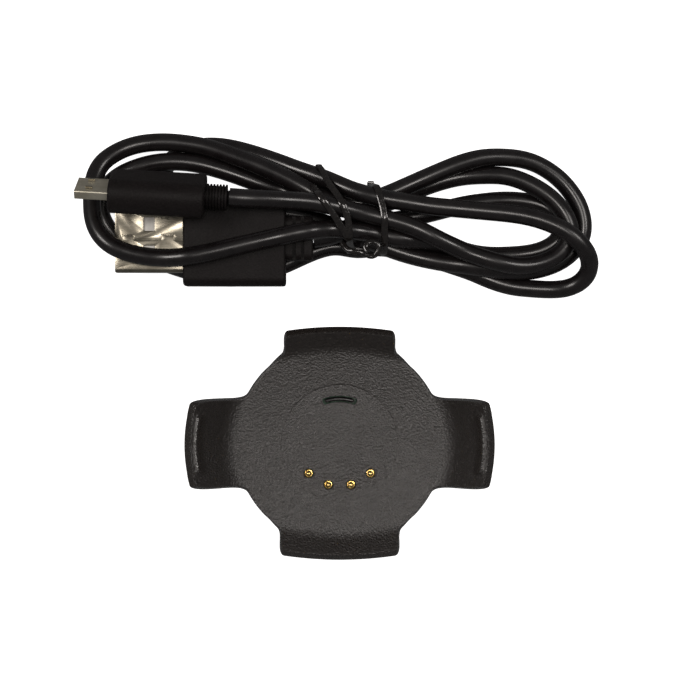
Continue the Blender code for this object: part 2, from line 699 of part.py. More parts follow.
def make_usb_a_inside(low, high):
    wall = USB_SHELL_WALL + FINE_GAP
    tongue_top = USB_Z - FINE_GAP
    box(
        "usb_a_tongue",
        (low[0] + USB_TONGUE_INSET, low[1] + wall, low[2] + wall),
        (high[0] - wall, high[1] - wall, tongue_top),
        "connector_plastic",
    )
    for number in range(1, 5):
        y = USB_Y + (number - 2.5) * USB_PITCH
        start = low[0] + (USB_OUTER_CONTACT if number in (1, 4) else USB_INNER_CONTACT)
        bottom = tongue_top + FINE_GAP
        box(
            f"usb_a_contact_{number}",
            (start, y - USB_CONTACT_HALF_WIDTH, bottom),
            (start + USB_CONTACT_LENGTH, y + USB_CONTACT_HALF_WIDTH, bottom + USB_CONTACT_THICKNESS),
            "contact_gold",
        )


def make_usb_a_overmould(body, relief, end):
    half_width, half_height = USB_BODY_WIDTH / 2, USB_BODY_HEIGHT / 2
    overmould = box(
        "usb_a_overmould",
        (body, USB_Y - half_width, USB_Z - half_height),
        (relief, USB_Y + half_width, USB_Z + half_height),
        "overmould_plastic",
    )
    bevel_along_x(overmould, USB_BODY_EDGE, 3)
    bevel(overmould, END_EDGE, 2, 60)
    sleeve_width, sleeve_height = USB_RELIEF_WIDTH / 2, USB_RELIEF_HEIGHT / 2
    sleeve = box(
        "usb_a_relief",
        (relief - CUT, USB_Y - sleeve_width, USB_Z - sleeve_height),
        (end, USB_Y + sleeve_width, USB_Z + sleeve_height),
    )
    bevel_along_x(sleeve, USB_RELIEF_EDGE, 3)
    boolean(overmould, sleeve, "UNION")
    pocket_width, pocket_height = USB_SHELL_WIDTH / 2 + GAP, USB_SHELL_HEIGHT / 2 + GAP
    pocket = box(
        "usb_a_pocket",
        (body - CUT, USB_Y - pocket_width, USB_Z - pocket_height),
        (body + SHELL_HIDDEN + GAP, USB_Y + pocket_width, USB_Z + pocket_height),
    )
    boolean(overmould, pocket)
    return smooth(overmould)


# Micro-USB plug, made about its own axis and then rolled in place


def roll_in_place(*pieces):
    bpy.context.view_layer.update()
    for obj in pieces:
        obj.matrix_world = TO_MICRO @ obj.matrix_world


def bar(name, x_low, x_high, wide, narrow, height, finish=None):
    """A bar along X with one wide and one narrow face, like the plug's tip."""
    obj = box(name, (x_low, -wide / 2, -height / 2), (x_high, wide / 2, height / 2), finish)
    for vert in obj.data.vertices:
        if vert.co.z < 0:
            vert.co.y *= narrow / wide
    return obj


def make_micro_b():
    mouth, body, relief, end = MICRO_X
    hidden = body + SHELL_HIDDEN / 2
    wall = MICRO_SHELL_WALL
    shell = bar(
        "micro_b_shell", mouth, hidden, MICRO_SHELL_WIDTH, MICRO_SHELL_NARROW, MICRO_SHELL_HEIGHT,
        "connector_steel",
    )
    inside = bar(
        "micro_b_cavity", mouth - wall, hidden - wall, MICRO_SHELL_WIDTH - 2 * wall,
        MICRO_SHELL_NARROW - 2 * wall, MICRO_SHELL_HEIGHT - 2 * wall,
    )
    boolean(shell, inside)
    tongue = box(
        "micro_b_tongue",
        (mouth + MICRO_TONGUE_INSET, -MICRO_TONGUE_HALF_WIDTH, MICRO_TONGUE_LOW),
        (hidden - wall - FINE_GAP, MICRO_TONGUE_HALF_WIDTH, MICRO_TONGUE_HIGH),
        "connector_plastic",
    )
    pieces = [shell, inside, tongue]
    for number in range(1, 6):
        y = (number - 3) * MICRO_PITCH
        bottom = MICRO_TONGUE_HIGH + FINE_GAP
        low = (mouth + MICRO_CONTACT_START, y - CONTACT_HALF_WIDTH, bottom)
        high = (mouth + MICRO_CONTACT_END, y + CONTACT_HALF_WIDTH, bottom + CONTACT_THICKNESS)
        pieces.append(box(f"micro_b_contact_{number}", low, high, "contact_gold"))
    for number, y in enumerate((-MICRO_LATCH_Y, MICRO_LATCH_Y), 1):
        top = MICRO_SHELL_HEIGHT / 2
        low = (mouth + MICRO_LATCH_START, y - MICRO_LATCH_HALF_WIDTH, top + FINE_GAP)
        high = (mouth + MICRO_LATCH_END, y + MICRO_LATCH_HALF_WIDTH, top + MICRO_LATCH_HEIGHT)
        pieces.append(box(f"micro_b_latch_{number}", low, high, "connector_steel"))
    roll_in_place(*pieces, *make_micro_overmould(body, relief, end, hidden))


def make_micro_overmould(body, relief, end, hidden):
    half_width, half_height = MICRO_BODY_WIDTH / 2, MICRO_BODY_HEIGHT / 2
    overmould = box(
        "micro_b_overmould", (body, -half_width, -half_height), (relief, half_width, half_height),
        "overmould_plastic",
    )
    bevel_along_x(overmould, MICRO_BODY_EDGE, 4)
    bevel(overmould, END_EDGE, 2, 60)
    bpy.ops.mesh.primitive_cylinder_add(
        vertices=24, radius=MICRO_RELIEF_RADIUS, depth=end - relief + CUT,
        location=((relief - CUT + end) / 2, 0, 0), rotation=(0, math.pi / 2, 0),
    )
    sleeve = bpy.context.object
    sleeve.name = "micro_b_relief"
    bpy.ops.object.transform_apply(location=True, rotation=True, scale=True)
    place(sleeve)
    boolean(overmould, sleeve, "UNION")
    pocket = box(
        "micro_b_pocket",
        (body - CUT, -MICRO_SHELL_WIDTH / 2 - GAP, -MICRO_SHELL_HEIGHT / 2 - GAP),
        (hidden + GAP, MICRO_SHELL_WIDTH / 2 + GAP, MICRO_SHELL_HEIGHT / 2 + GAP),
    )
    boolean(overmould, pocket)
    return smooth(overmould), sleeve, pocket


# Cable, hank and tie


def make_cable():
    tube("micro_lead", smooth_route(MICRO_LEAD_ROUTE, 2), CORD_RADIUS, "cord_sheath")
    tube("usb_lead", USB_LEAD_ROUTE, CORD_RADIUS, "cord_sheath")
    hank = box("cable_hank", WAIST_LOW, WAIST_HIGH, "cord_sheath")
    left = extruded("left_folds", LEFT_FOLDS, 0, LEFT_TOP, rounded=True)
    (south, north), top = PLUG_ROOM_Y, LEFT_TOP + CUT
    room = box("plug_room", (PLUG_ROOM_X, south, LAYER), (WAIST_LOW[0], north, top))
    boolean(left, room)
    boolean(hank, left, "UNION")
    right = extruded("right_folds", RIGHT_FOLDS, 0, RIGHT_TOP, rounded=True)
    boolean(hank, right, "UNION")
    return hank


def make_tie():
    """One closed band round the hank's waist."""
    outer = GAP + TIE_THICKNESS
    low_x, high_x = TIE_X - TIE_WIDTH / 2, TIE_X + TIE_WIDTH / 2
    (_, south, bottom), (_, north, top) = WAIST_LOW, WAIST_HIGH
    low, high = (low_x, south - outer, bottom - outer), (high_x, north + outer, top + outer)
    tie = box("twist_tie", low, high, "tie_coating")
    low, high = (low_x - CUT, south - GAP, bottom - GAP), (high_x + CUT, north + GAP, top + GAP)
    boolean(tie, box("tie_hole", low, high))


clear_scene()
PARTS = new_collection("charging_cradle")
CUTTERS = new_collection("cutters")
CUTTERS.hide_render = True
TO_MICRO = (
    Matrix.Translation(MICRO_MIDDLE)
    @ Matrix.Rotation(MICRO_YAW, 4, "Z")
    @ Matrix.Rotation(MICRO_ROLL, 4, "X")
    @ Matrix.Translation((-MICRO_MIDDLE[0], 0, 0))
)
make_tray()
make_key()
make_base()
make_pad()
make_board()
make_components()
make_screws()
make_pins()
make_socket()
make_usb_a()
make_micro_b()
make_cable()
make_tie()
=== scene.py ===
"""The finished look of a charging cradle for a round running watch, with its loose USB lead.

Metres, +Z up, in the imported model's frame: the origin is under the cradle's middle, on the table.
"""

import math

import bmesh
import bpy
import numpy as np
from mathutils import Matrix, Vector


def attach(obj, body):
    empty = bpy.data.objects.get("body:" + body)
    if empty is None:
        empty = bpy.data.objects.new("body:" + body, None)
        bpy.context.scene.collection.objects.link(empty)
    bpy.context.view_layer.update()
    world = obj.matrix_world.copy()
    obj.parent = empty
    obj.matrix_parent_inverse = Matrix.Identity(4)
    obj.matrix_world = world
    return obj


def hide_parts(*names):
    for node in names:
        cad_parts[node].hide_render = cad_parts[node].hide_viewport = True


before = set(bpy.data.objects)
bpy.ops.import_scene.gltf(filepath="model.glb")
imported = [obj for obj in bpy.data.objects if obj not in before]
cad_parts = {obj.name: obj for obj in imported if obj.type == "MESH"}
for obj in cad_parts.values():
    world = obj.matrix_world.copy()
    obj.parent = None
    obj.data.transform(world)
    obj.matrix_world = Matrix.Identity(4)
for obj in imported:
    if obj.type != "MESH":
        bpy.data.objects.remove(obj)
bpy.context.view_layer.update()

MM = 0.001

# ---------------------------------------------------------------- camera, light and table

TABLE_SIZE, TABLE_PLACE, TABLE_GLOW = 6, (0, 0.02, -0.00005), 0.93
WORLD_LIGHT = 0.12
CAMERA_PLACE = (0.00007, 0.0181, 0.378)
CAMERA_LENS, CAMERA_SENSOR, CAMERA_NEAR = 110.96, 36, 0.01
SOFTBOX_AIM = (0, 0.02, 0)
SOFTBOXES = (  # name, place, size, power and colour
    ("main_softbox", (0.06, 0.045, 0.62), 0.13, 0.85, (1, 0.945, 0.90)),
    ("left_softbox", (-0.40, 0.12, 0.52), 0.18, 1.55, (1, 0.95, 0.91)),
    ("right_softbox", (0.42, 0.14, 0.52), 0.16, 1.0, (1, 0.955, 0.92)),
)


def add_camera():
    bpy.ops.object.camera_add(location=CAMERA_PLACE, rotation=(0, 0, 0))
    camera = bpy.context.object
    camera.name = "overhead_camera"
    camera.data.lens = CAMERA_LENS
    camera.data.sensor_width = CAMERA_SENSOR
    camera.data.clip_start = CAMERA_NEAR
    bpy.context.scene.camera = camera


def add_softbox(name, place, size, power, colour):
    bpy.ops.object.light_add(type="AREA", location=place)
    lamp = bpy.context.object
    lamp.name = name
    lamp.data.shape = "SQUARE"
    lamp.data.size = size
    lamp.data.energy = power
    lamp.data.color = colour
    lamp.rotation_euler = (Vector(SOFTBOX_AIM) - Vector(place)).to_track_quat("-Z", "Y").to_euler()


def add_surroundings():
    world = bpy.data.worlds.new("white_studio")
    world.use_nodes = True
    backdrop = world.node_tree.nodes["Background"]
    backdrop.inputs["Color"].default_value = (1, 1, 1, 1)
    backdrop.inputs["Strength"].default_value = WORLD_LIGHT
    scene = bpy.context.scene
    scene.world = world
    scene.view_settings.view_transform = "Standard"
    scene.view_settings.look = "None"
    for softbox in SOFTBOXES:
        add_softbox(*softbox)


# ---------------------------------------------------------------- working by hand

ALONG = 0.99  # how nearly a face or an edge has to follow an axis to count as following it
TOUCH, LEVEL, RIM_SLACK = 0.00001, 0.000002, 0.0001
SMOOTH_ANGLE = math.radians(38)


def hold(obj):
    """Makes this the only piece in hand."""
    if bpy.context.object and bpy.context.object.mode != "OBJECT":
        bpy.ops.object.mode_set(mode="OBJECT")
    bpy.ops.object.select_all(action="DESELECT")
    obj.select_set(True)
    bpy.context.view_layer.objects.active = obj
    return obj


def settle_primitive(name):
    """Names a new primitive and puts its place into its mesh."""
    obj = bpy.context.object
    obj.name = obj.data.name = name
    hold(obj)
    bpy.ops.object.transform_apply(location=True, rotation=True, scale=True)
    return obj


def block(name, low, high):
    """A box between two corners."""
    bpy.ops.object.select_all(action="DESELECT")
    middle = [(a + b) / 2 for a, b in zip(low, high)]
    bpy.ops.mesh.primitive_cube_add(size=1, location=middle, scale=[b - a for a, b in zip(low, high)])
    return settle_primitive(name)


def beam(name, start, end, y, z, width, height):
    """A box along X, about one centre line."""
    return block(name, (start, y - width / 2, z - height / 2), (end, y + width / 2, z + height / 2))


def rod(name, x, y, low, high, radius, sides=48):
    """An upright round bar between two heights."""
    bpy.ops.object.select_all(action="DESELECT")
    bpy.ops.mesh.primitive_cylinder_add(
        vertices=sides, radius=radius, depth=high - low, location=(x, y, (low + high) / 2)
    )
    return settle_primitive(name)


def bar_along_x(name, low, high, radius, sides=48):
    """A round bar about the X axis."""
    bpy.ops.object.select_all(action="DESELECT")
    bpy.ops.mesh.primitive_cylinder_add(
        vertices=sides, radius=radius, depth=high - low, location=((low + high) / 2, 0, 0),
        rotation=(0, math.pi / 2, 0),
    )
    return settle_primitive(name)


def pick(obj, kind, wanted):
    """Opens a piece for editing, with the faces or edges selected that are wanted."""
    hold(obj)
    bpy.ops.object.mode_set(mode="EDIT")
    bpy.ops.mesh.select_mode(type=kind)
    bpy.ops.mesh.select_all(action="DESELECT")
    bm = bmesh.from_edit_mesh(obj.data)
    for item in bm.faces if kind == "FACE" else bm.edges:
        if wanted(item):
            item.select_set(True)
    bm.select_flush_mode()
    bmesh.update_edit_mesh(obj.data)


def put_down():
    bpy.ops.object.mode_set(mode="OBJECT")


def facing(axis, sign):
    """Faces that look along one axis."""
    return lambda face: face.normal[axis] * sign > ALONG


def running(axis):
    """Edges that run along one axis."""
    def wanted(edge):
        a, b = (vert.co for vert in edge.verts)
        return (a - b).length > 1e-9 and abs((a - b).normalized()[axis]) > ALONG
    return wanted


def rim_at(height):
    """Edges that lie level at one height."""
    return lambda edge: all(abs(vert.co.z - height) < LEVEL for vert in edge.verts)


def outer_rim(height, radius):
    """Edges of a round piece's rim at one height."""
    return lambda edge: rim_at(height)(edge) and all(
        vert.co.xy.length > radius - RIM_SLACK for vert in edge.verts
    )


def top_face(height):
    """Faces that look up from one height."""
    return lambda face: face.normal.z > ALONG and face.calc_center_median().z > height - TOUCH


def round_edges(obj, wanted, width, segments):
    pick(obj, "EDGE", wanted)
    bpy.ops.mesh.bevel(offset=width, offset_type="OFFSET", segments=segments, affect="EDGES")
    put_down()


def extend(move, scale=None, middle=(0, 0, 0)):
    """Extrudes what is selected, and then widens or narrows its new end."""
    bpy.ops.mesh.extrude_region_move(TRANSFORM_OT_translate={"value": move})
    if scale:
        bpy.ops.transform.resize(value=scale, center_override=middle)


def work(obj, kind, name, **settings):
    """Adds a modifier and applies it."""
    hold(obj)
    modifier = obj.modifiers.new(name, kind)
    for key, value in settings.items():
        setattr(modifier, key, value)
    bpy.ops.object.modifier_apply(modifier=name)
    return obj


def cut(obj, cutters, operation="DIFFERENCE"):
    """Takes shapes out of a piece, or adds them to it."""
    for cutter in cutters:
        work(obj, "BOOLEAN", "cut", operation=operation, solver="MANIFOLD", object=cutter)
        bpy.data.meshes.remove(cutter.data)
    return obj


def shell_wall(obj, thickness):
    """Gives an open skin a wall on its inner side."""
    return work(obj, "SOLIDIFY", "wall", thickness=thickness, offset=-1, use_even_offset=True)


def open_sleeve(obj, axis, sign, corner, segments, wall):
    """Makes a block into a sleeve with rounded long edges, open at one end."""
    round_edges(obj, running(axis), corner, segments)
    pick(obj, "FACE", facing(axis, sign))
    bpy.ops.mesh.delete(type="FACE")
    put_down()
    return shell_wall(obj, wall)


def soften(obj, width, segments=2, angle=50):
    """Bevels the sharp edges of a whole piece."""
    return work(
        obj, "BEVEL", "edges", width=width, segments=segments, limit_method="ANGLE",
        angle_limit=math.radians(angle), harden_normals=False,
    )


def hand_over(obj, finish, body, slot, *nodes):
    """Smooths a finished piece, gives it its finish and body, and hides any model parts that it stands
    in for.
    """
    hold(obj)
    bpy.ops.object.shade_smooth_by_angle(angle=SMOOTH_ANGLE)
    obj.data.materials.clear()
    obj.data.materials.append(finish)
    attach(obj, body)
    if nodes:
        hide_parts(*nodes)
    return obj


def on_circle(radius, degrees):
    angle = math.radians(degrees)
    return radius * math.cos(angle), radius * math.sin(angle)


# ---------------------------------------------------------------- finishes


SLOW_GRAIN, METAL_CLOUDS, METAL_LINES, METAL_RELIEF = 160, 500, 3000, 0.000002
TRAY_DARK, TRAY_LIGHT = (0.0070, 0.0054, 0.0048), (0.0260, 0.0215, 0.0190)
TRAY_TONE_GRAIN, TRAY_GLOSS_GRAIN, TRAY_GRAIN, TRAY_RELIEF = 4200, 3600, 2900, 0.00022
TRAY_GLOSSIEST, TRAY_ROUGHEST, TRAY_POLISH, POLISHED_GRAIN = 0.30, 0.45, 0.17, 0.25


class Finish:
    """A material whose colour, gloss and relief come from patterns fixed in the piece."""

    def __init__(self, name, roughness, metallic=0.0, specular=0.5):
        self.material = bpy.data.materials.new(name)
        self.material.use_nodes = True
        self.nodes, self.links = self.material.node_tree.nodes, self.material.node_tree.links
        self.shader = self.nodes["Principled BSDF"]
        self.shader.inputs["Roughness"].default_value = roughness
        self.shader.inputs["Metallic"].default_value = metallic
        self.shader.inputs["Specular IOR Level"].default_value = specular
        self.coords = self.nodes.new("ShaderNodeTexCoord")

    def grain(self, scale, detail=2.0, stretch=(1, 1, 1)):
        """A random pattern, drawn out along the axes with the smaller numbers."""
        mapping = self.nodes.new("ShaderNodeMapping")
        mapping.inputs["Scale"].default_value = stretch
        noise = self.nodes.new("ShaderNodeTexNoise")
        noise.inputs["Scale"].default_value = scale
        noise.inputs["Detail"].default_value = detail
        self.links.new(self.coords.outputs["Object"], mapping.inputs["Vector"])
        self.links.new(mapping.outputs["Vector"], noise.inputs["Vector"])
        return noise.outputs["Fac"]

    def cells(self, scale):
        """A pattern of small closed cells."""
        pattern = self.nodes.new("ShaderNodeTexVoronoi")
        pattern.inputs["Scale"].default_value = scale
        self.links.new(self.coords.outputs["Object"], pattern.inputs["Vector"])
        return pattern.outputs["Distance"]

    def marked(self, attribute):
        """A value painted on the piece's own points."""
        node = self.nodes.new("ShaderNodeAttribute")
        node.attribute_name = attribute
        return node.outputs["Fac"]

    def between(self, source, low, high, start=0.3, end=0.7):
        """Maps a pattern to a range."""
        node = self.nodes.new("ShaderNodeMapRange")
        for key, value in (("From Min", start), ("From Max", end), ("To Min", low), ("To Max", high)):
            node.inputs[key].default_value = value
        self.links.new(source, node.inputs["Value"])
        return node.outputs["Result"]

    def maths(self, operation, a, b):
        node = self.nodes.new("ShaderNodeMath")
        node.operation = operation
        for socket, value in zip(node.inputs, (a, b)):
            if isinstance(value, (int, float)):
                socket.default_value = value
            else:
                self.links.new(value, socket)
        return node.outputs[0]

    def tint(self, source, dark, light, start=0.3, end=0.7):
        """Colours the piece from dark to light by a pattern."""
        ramp = self.nodes.new("ShaderNodeValToRGB")
        ramp.color_ramp.elements[0].position, ramp.color_ramp.elements[1].position = start, end
        ramp.color_ramp.elements[0].color, ramp.color_ramp.elements[1].color = (*dark, 1), (*light, 1)
        self.links.new(source, ramp.inputs["Fac"])
        self.links.new(ramp.outputs["Color"], self.shader.inputs["Base Color"])
        return self

    def gloss(self, source):
        self.links.new(source, self.shader.inputs["Roughness"])
        return self

    def relief(self, source, depth, strength=1.0):
        """Raises the surface by a pattern; depth is in metres."""
        node = self.nodes.new("ShaderNodeBump")
        node.inputs["Strength"].default_value = strength
        node.inputs["Distance"].default_value = depth
        self.links.new(source, node.inputs["Height"])
        self.links.new(node.outputs["Normal"], self.shader.inputs["Normal"])
        return self


def grained_plastic(name, dark, light, grain, depth, low, high, specular=0.5):
    """Spark-eroded black plastic: fine even grain, with slow changes of gloss."""
    finish = Finish(name, (low + high) / 2, specular=specular)
    finish.tint(finish.grain(grain * 0.8, 3), dark, light)
    finish.gloss(finish.between(finish.grain(SLOW_GRAIN, 2), low, high))
    finish.relief(finish.grain(grain, 2), depth)
    return finish.material


def polished_metal(name, dark, light, low, high, stretch=(1, 1, 1)):
    """Drawn or plated metal, with fine lines along the way it was drawn."""
    finish = Finish(name, (low + high) / 2, metallic=1.0)
    finish.tint(finish.grain(METAL_CLOUDS, 3), dark, light)
    lines = finish.grain(METAL_LINES, 3, stretch)
    finish.gloss(finish.between(lines, low, high))
    finish.relief(lines, METAL_RELIEF, 0.3)
    return finish.material


def tray_finish():
    """The tray's grained upper face; its rims and beads are worn and polished smoother."""
    finish = Finish("tray_spark_grain", 0.5, specular=0.8)
    finish.tint(finish.grain(TRAY_TONE_GRAIN, 2), TRAY_DARK, TRAY_LIGHT)
    polish = finish.marked("polish")
    rough = finish.between(finish.grain(TRAY_GLOSS_GRAIN, 2), TRAY_GLOSSIEST, TRAY_ROUGHEST)
    finish.gloss(finish.maths("SUBTRACT", rough, finish.maths("MULTIPLY", polish, TRAY_POLISH)))
    depth = finish.between(polish, 1.0, POLISHED_GRAIN, 0, 1)
    finish.relief(finish.maths("MULTIPLY", finish.grain(TRAY_GRAIN, 2), depth), TRAY_RELIEF)
    return finish.material


def sheath_finish():
    """Smooth black cable sheath with a faint unevenness from being drawn and handled."""
    finish = Finish("sheath_pvc", 0.28, specular=0.55)
    finish.tint(finish.grain(900, 3), (0.0050, 0.0040, 0.0042), (0.0090, 0.0072, 0.0076))
    finish.gloss(finish.between(finish.grain(260, 3), 0.23, 0.33))
    finish.relief(finish.grain(220, 1), 0.00002, 0.4)
    return finish.material


def tie_finish():
    """Thin glossy black coat over a wire, slightly uneven."""
    finish = Finish("tie_glossy_coat", 0.25, specular=0.6)
    finish.tint(finish.grain(2500, 2), (0.006, 0.005, 0.005), (0.014, 0.012, 0.011))
    finish.gloss(finish.between(finish.grain(1500, 2), 0.12, 0.22))
    finish.relief(finish.grain(1600, 2), 0.00005, 0.7)
    return finish.material


def laminate_finish():
    """Green solder mask over faint tracks."""
    finish = Finish("solder_mask", 0.4)
    finish.tint(finish.cells(700), (0.010, 0.070, 0.028), (0.022, 0.130, 0.055), 0.25, 0.32)
    finish.gloss(finish.between(finish.grain(2500), 0.34, 0.46))
    return finish.material


def speckled(name, dark, light, scale, low, high, depth):
    """Pale moulded plastic or fired ceramic, with a fine speckle."""
    finish = Finish(name, (low + high) / 2)
    finish.tint(finish.grain(scale, 3), dark, light)
    finish.gloss(finish.between(finish.grain(scale * 0.5), low, high))
    finish.relief(finish.grain(scale), depth, 0.6)
    return finish.material


TRAY_FINISH = tray_finish()
HOUSING_FINISH = grained_plastic(
    "housing_grain", (0.009, 0.008, 0.0075), (0.022, 0.019, 0.018), 4600, 0.00006, 0.44, 0.54, 0.42
)
OVERMOULD_FINISH = grained_plastic(
    "overmould_grain", (0.0042, 0.0032, 0.0032), (0.0090, 0.0070, 0.0070), 4200, 0.00006,
    0.48, 0.58, 0.14,
)
KEY_FINISH = grained_plastic(
    "key_gloss_black", (0.005, 0.005, 0.005), (0.010, 0.0095, 0.009), 1500, 0.00001, 0.14, 0.22, 0.4
)
SHEATH_FINISH, TIE_FINISH = sheath_finish(), tie_finish()
GOLD_FINISH = polished_metal("contact_gold_plate", (0.78, 0.50, 0.13), (0.95, 0.70, 0.28), 0.14, 0.30)
INSULATOR_FINISH = speckled(
    "insulator_white", (0.60, 0.58, 0.54), (0.72, 0.70, 0.66), 900, 0.35, 0.5, 0.00001
)
TIP_STEEL = polished_metal("tip_plated_steel", (0.66, 0.61, 0.49), (0.84, 0.79, 0.66), 0.40, 0.54)
SHELL_STEEL = polished_metal(
    "connector_shell_steel", (0.25, 0.226, 0.178), (0.36, 0.33, 0.265), 0.24, 0.30, (0.05, 1, 1)
)
SPRING_STEEL = polished_metal("spring_wire_steel", (0.45, 0.45, 0.45), (0.62, 0.62, 0.62), 0.2, 0.4)
SCREW_STEEL = polished_metal("screw_zinc", (0.36, 0.36, 0.38), (0.52, 0.52, 0.54), 0.28, 0.44)
RUBBER_FINISH = grained_plastic(
    "foot_rubber", (0.010, 0.010, 0.010), (0.020, 0.020, 0.020), 2600, 0.00006, 0.75, 0.92, 0.3
)
LAMINATE_FINISH = laminate_finish()
CERAMIC_FINISH = speckled(
    "component_ceramic_body", (0.30, 0.22, 0.15), (0.48, 0.38, 0.27), 4000, 0.5, 0.66, 0.00001
)
WHITE_PLASTIC = speckled(
    "connector_white_plastic", (0.74, 0.74, 0.71), (0.86, 0.86, 0.83), 2600, 0.42, 0.55, 0.00001
)

# ---------------------------------------------------------------- cable

